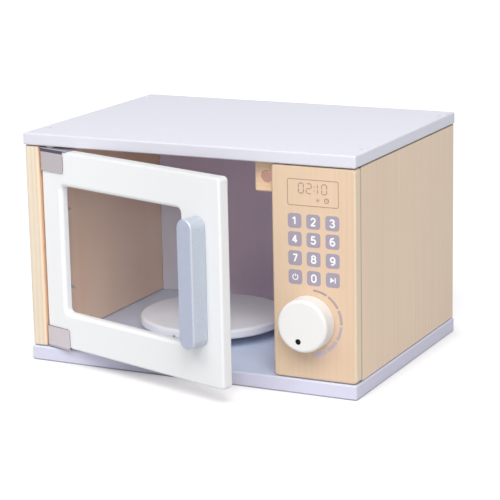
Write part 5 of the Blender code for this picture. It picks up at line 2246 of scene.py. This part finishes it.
    def bearing(self, level: str, facing: Facing) -> None:
        """A flanged nylon bush in its board, and the pin that turns in it.

        Args:
            level: The bush's level, top or bottom.
            facing: The side that its flange looks to.
        """
        stock = self.case.stock(f"pivot_bush_{level}", facing)
        outer = stock.width / 2
        corners = [
            (self.bore, 0.0),
            (outer, 0.0),
            (outer, -self.flange),
            (self.bush, -self.flange),
            (self.bush, -stock.depth),
            (self.bore, -stock.depth),
        ]
        bush = ring(corners, self.bush_edge)
        self.put(bush, f"bush_{level}", stock, self.finishes.nylon, "case")
        self.hardware.pin(self.space.stock(f"pivot_pin_{level}", Facing.UP), "door")

    def build(self) -> None:
        """Make both hinges."""
        self.clip("top", 1)
        self.clip("bottom", -1)
        self.bearing("top", Facing.DOWN)
        self.bearing("bottom", Facing.UP)
        self.drive(numbered("hinge_clip_screw", 4), Facing.BACK, "door")


@dataclass
class Catch(Assembly):
    """The block under the top board, and the magnet let into it."""

    edge: float = 0.0020
    corner: float = 0.0021
    hole_gap: float = 0.0001
    hole_edge: float = 0.0003
    recess: float = 0.0008
    proud: float = 0.0005
    magnet_edge: float = 0.0004

    def build(self) -> None:
        """Make the block and the magnet."""
        stock = self.space.stock("catch_block", Facing.FRONT)
        magnet = self.space.stock("catch_magnet", Facing.FRONT)
        radius = magnet.width / 2
        circle = Outline.circle(radius + self.hole_gap, stock.place.to_local(magnet.place.origin), steps=56)
        hole = Hole.blind(circle, magnet.depth + self.recess, self.hole_edge, self.hole_edge)
        block = plate(stock, self.corner, (self.edge, self.edge), [hole])
        self.put(block, "catch_block_wood", stock, self.finishes.block_wood, "case")
        disc = drum(radius, magnet.depth, self.magnet_edge, self.proud)
        self.put(disc, "catch_disc", magnet, self.finishes.magnet, "case")


@dataclass
class Turntable(Assembly):
    """The white disc on its bolt, with the spacer and washers under it."""

    screw_shank: float = 0.0030
    screw_head: float = 0.0030
    rim: float = 0.0028
    bore: float = 0.0031
    bore_edge: float = 0.0003
    spacer_edge: float = 0.0006

    def disc(self) -> None:
        """The disc, with a well rounded rim and a hole for the bolt below."""
        stock = self.space.stock("turntable_disc", Facing.UP)
        radius, bottom, bore = stock.width / 2, -stock.depth, self.bore
        corners = [(0.0, 0.0), (radius, 0.0), (radius, bottom), (bore, bottom)]
        corners += [(bore, bottom / 3), (0.0, bottom / 3)]
        radii = (0.0, self.rim, self.rim, self.bore_edge, self.bore_edge, 0.0)
        disc = turned(corners, radii, steps=160, arc=9)
        self.put(disc, "turntable_plate", stock, self.finishes.disc, "turntable")

    def carrier(self) -> None:
        """The wooden spacer, the washers and the bolt."""
        up = Facing.UP
        stock = self.space.stock("turntable_spacer", up)
        spacer = washer(stock.width / 2, self.bore, stock.depth, self.spacer_edge)
        self.put(spacer, "spacer_ring", stock, self.finishes.spacer_wood, "case")
        for name, coat in (("slip", self.finishes.nylon), ("retaining", self.finishes.zinc)):
            stock = self.space.stock(f"turntable_{name}_washer", up)
            self.hardware.washer(stock, "case", self.bore, coat)
        self.drive(["turntable_bolt"], Facing.DOWN, "turntable")

    def build(self) -> None:
        """Make the whole turntable."""
        self.disc()
        self.carrier()


@dataclass(frozen=True)
class Lamp:
    """A square soft lamp that faces the toy.

    Its light is what a white surface that faces it would show, so its power is pi squared times the light
    times the distance squared.
    """

    name: str
    light: float
    azimuth: float
    elevation: float
    colour: Colour = (1.0, 0.98, 0.955)
    size: float = 1.3
    distance: float = 2.8

    def build(self, target: Vector) -> None:
        """Make the lamp, at its distance from the target.

        Args:
            target: The point that it faces.
        """
        data = bpy.data.lights.new(self.name, "AREA")
        data.shape, data.size, data.color = "SQUARE", self.size, self.colour
        data.energy = self.light * (math.pi * self.distance) ** 2
        way = direction(self.azimuth, self.elevation)
        turn = (-way).to_track_quat("-Z", "Y").to_matrix().to_4x4()
        added(self.name, data).matrix_world = Matrix.Translation(target + way * self.distance) @ turn


@dataclass
class Studio:
    """The pale floor, the soft light and the camera."""

    floor_side: float = 12.0
    floor_colour: Colour = (0.68, 0.68, 0.69)
    floor_lift: float = 0.47
    camera_lift: float = 0.10
    floor_fade: Pair = (0.4, 2.2)
    contact_reach: float = 0.028
    contact_power: float = 1.15
    contact_samples: int = 16
    sky_colour: Colour = (0.96, 0.975, 1.03)
    sky_strength: float = 0.30
    floor_far: float = 0.6
    lamps: tuple[Lamp, ...] = (
        Lamp("key_softbox", 0.486, math.radians(35.0), math.radians(50.0)),
        Lamp("left_softbox", 0.327, math.radians(-17.0), math.radians(52.0)),
        Lamp("low_softbox", 0.2685, math.radians(26.0), math.radians(28.0)),
    )
    target: tuple[float, float, float] = (0.0588, -0.1085, 0.1138)
    distance: float = 1.5173
    azimuth: float = math.radians(26.58)
    elevation: float = math.radians(13.58)
    roll: float = math.radians(-1.17)
    lens: float = 138.4
    sensor: float = 36.0

    def camera(self) -> None:
        """The camera: back along the azimuth and elevation from the target, rolled about its own axis."""
        back = direction(self.azimuth, self.elevation)
        right = Vector((math.cos(self.azimuth), math.sin(self.azimuth), 0.0))
        up = back.cross(right)
        cos, sin = math.cos(self.roll), math.sin(self.roll)
        rows = (right * cos + up * sin, up * cos - right * sin, back)
        data = bpy.data.cameras.new("photo_view")
        data.lens, data.sensor_width = self.lens, self.sensor
        camera = added("photo_view", data)
        turn = Matrix(rows).transposed().to_4x4()
        camera.matrix_world = Matrix.Translation(Vector(self.target) + back * self.distance) @ turn
        bpy.context.scene.camera = camera

    def floor(self) -> None:
        """A pale floor that is white to the camera, keeps the toy's shadow, has a painted contact shadow
        round the toy and fades to white far away.
        """
        half = self.floor_side / 2
        corners = np.array([(-half, -half), (half, -half), (half, half), (-half, half)])
        mesh = bpy.data.meshes.new("floor")
        mesh.from_pydata(np.column_stack([corners, np.zeros(4)]).tolist(), [], [(0, 1, 2, 3)])
        floor = added("floor", mesh)
        material = bpy.data.materials.new("studio_floor")
        graph = Graph(material)
        x, y, _ = graph.place()
        far = (x * x + y * y).root().above(*self.floor_fade)
        # Painted contact shadow: the floor's glow is darkened by ambient occlusion near the toy.
        reach = {"Distance": self.contact_reach}
        samples = {"samples": self.contact_samples}
        near = graph.signal("ShaderNodeAmbientOcclusion", "AO", samples, reach) ** self.contact_power
        direct = graph.signal("ShaderNodeLightPath", "Is Camera Ray", {}, {}) * self.camera_lift
        lift = (graph.seen() * (far * self.floor_far + self.floor_lift) + direct) * near
        graph.finish(
            Base_Color=self.floor_colour,
            Roughness=0.9,
            Specular_IOR_Level=0.0,
            Emission_Color=graph.mix(lift, (0.0, 0.0, 0.0), (1.0, 1.0, 1.0)),
            Emission_Strength=1.0,
        )
        mesh.materials.append(material)

    def sky(self) -> None:
        """An even pale sky that the camera sees as white."""
        world = bpy.data.worlds.new("studio_sky")
        bpy.context.scene.world = world
        graph = Graph(world)
        light = {"Color": self.sky_colour, "Strength": self.sky_strength}
        white = {"Color": (1.0, 1.0, 1.0), "Strength": 1.0}
        shades = [graph.signal("ShaderNodeBackground", 0, {}, sockets) for sockets in (light, white)]
        both = graph.signal("ShaderNodeMixShader", 0, {}, {0: graph.seen(), 1: shades[0], 2: shades[1]})
        graph.feed(graph.tree.nodes["World Output"].inputs["Surface"], both)

    def build(self) -> None:
        """Make the whole studio."""
        bpy.context.scene.view_settings.view_transform = "Standard"
        self.camera()
        self.floor()
        self.sky()
        for lamp in self.lamps:
            lamp.build(Vector(self.target))


def door_space() -> Space:
    """The door's own directions.

    Returns:
        The space with its zero on the hinge's axis, turned by the angle that the door stands open at rest.
    """
    hinge = next(joint for joint in frame["joints"] if joint["name"] == "door_hinge")
    x, y, _ = hinge["pos_m"]
    return Space((x, y, 0.0), math.radians(min(hinge["range_deg"])))


def main() -> None:
    """Build the studio and each sub-assembly in turn."""
    logging.basicConfig(level=logging.INFO, format="%(name)s: %(message)s")
    Studio().build()
    shop, case, door = Workshop(Finishes()), Space(), door_space()
    hardware = Hardware(shop)
    for kind in (Case, ControlPanel, Dial, Door, Hinges, Catch, Turntable):
        kind(shop, hardware, door if kind in (Door, Hinges) else case).build()
    log.info("%d pieces in all", shop.count)


if __name__ == "__main__":
    main()
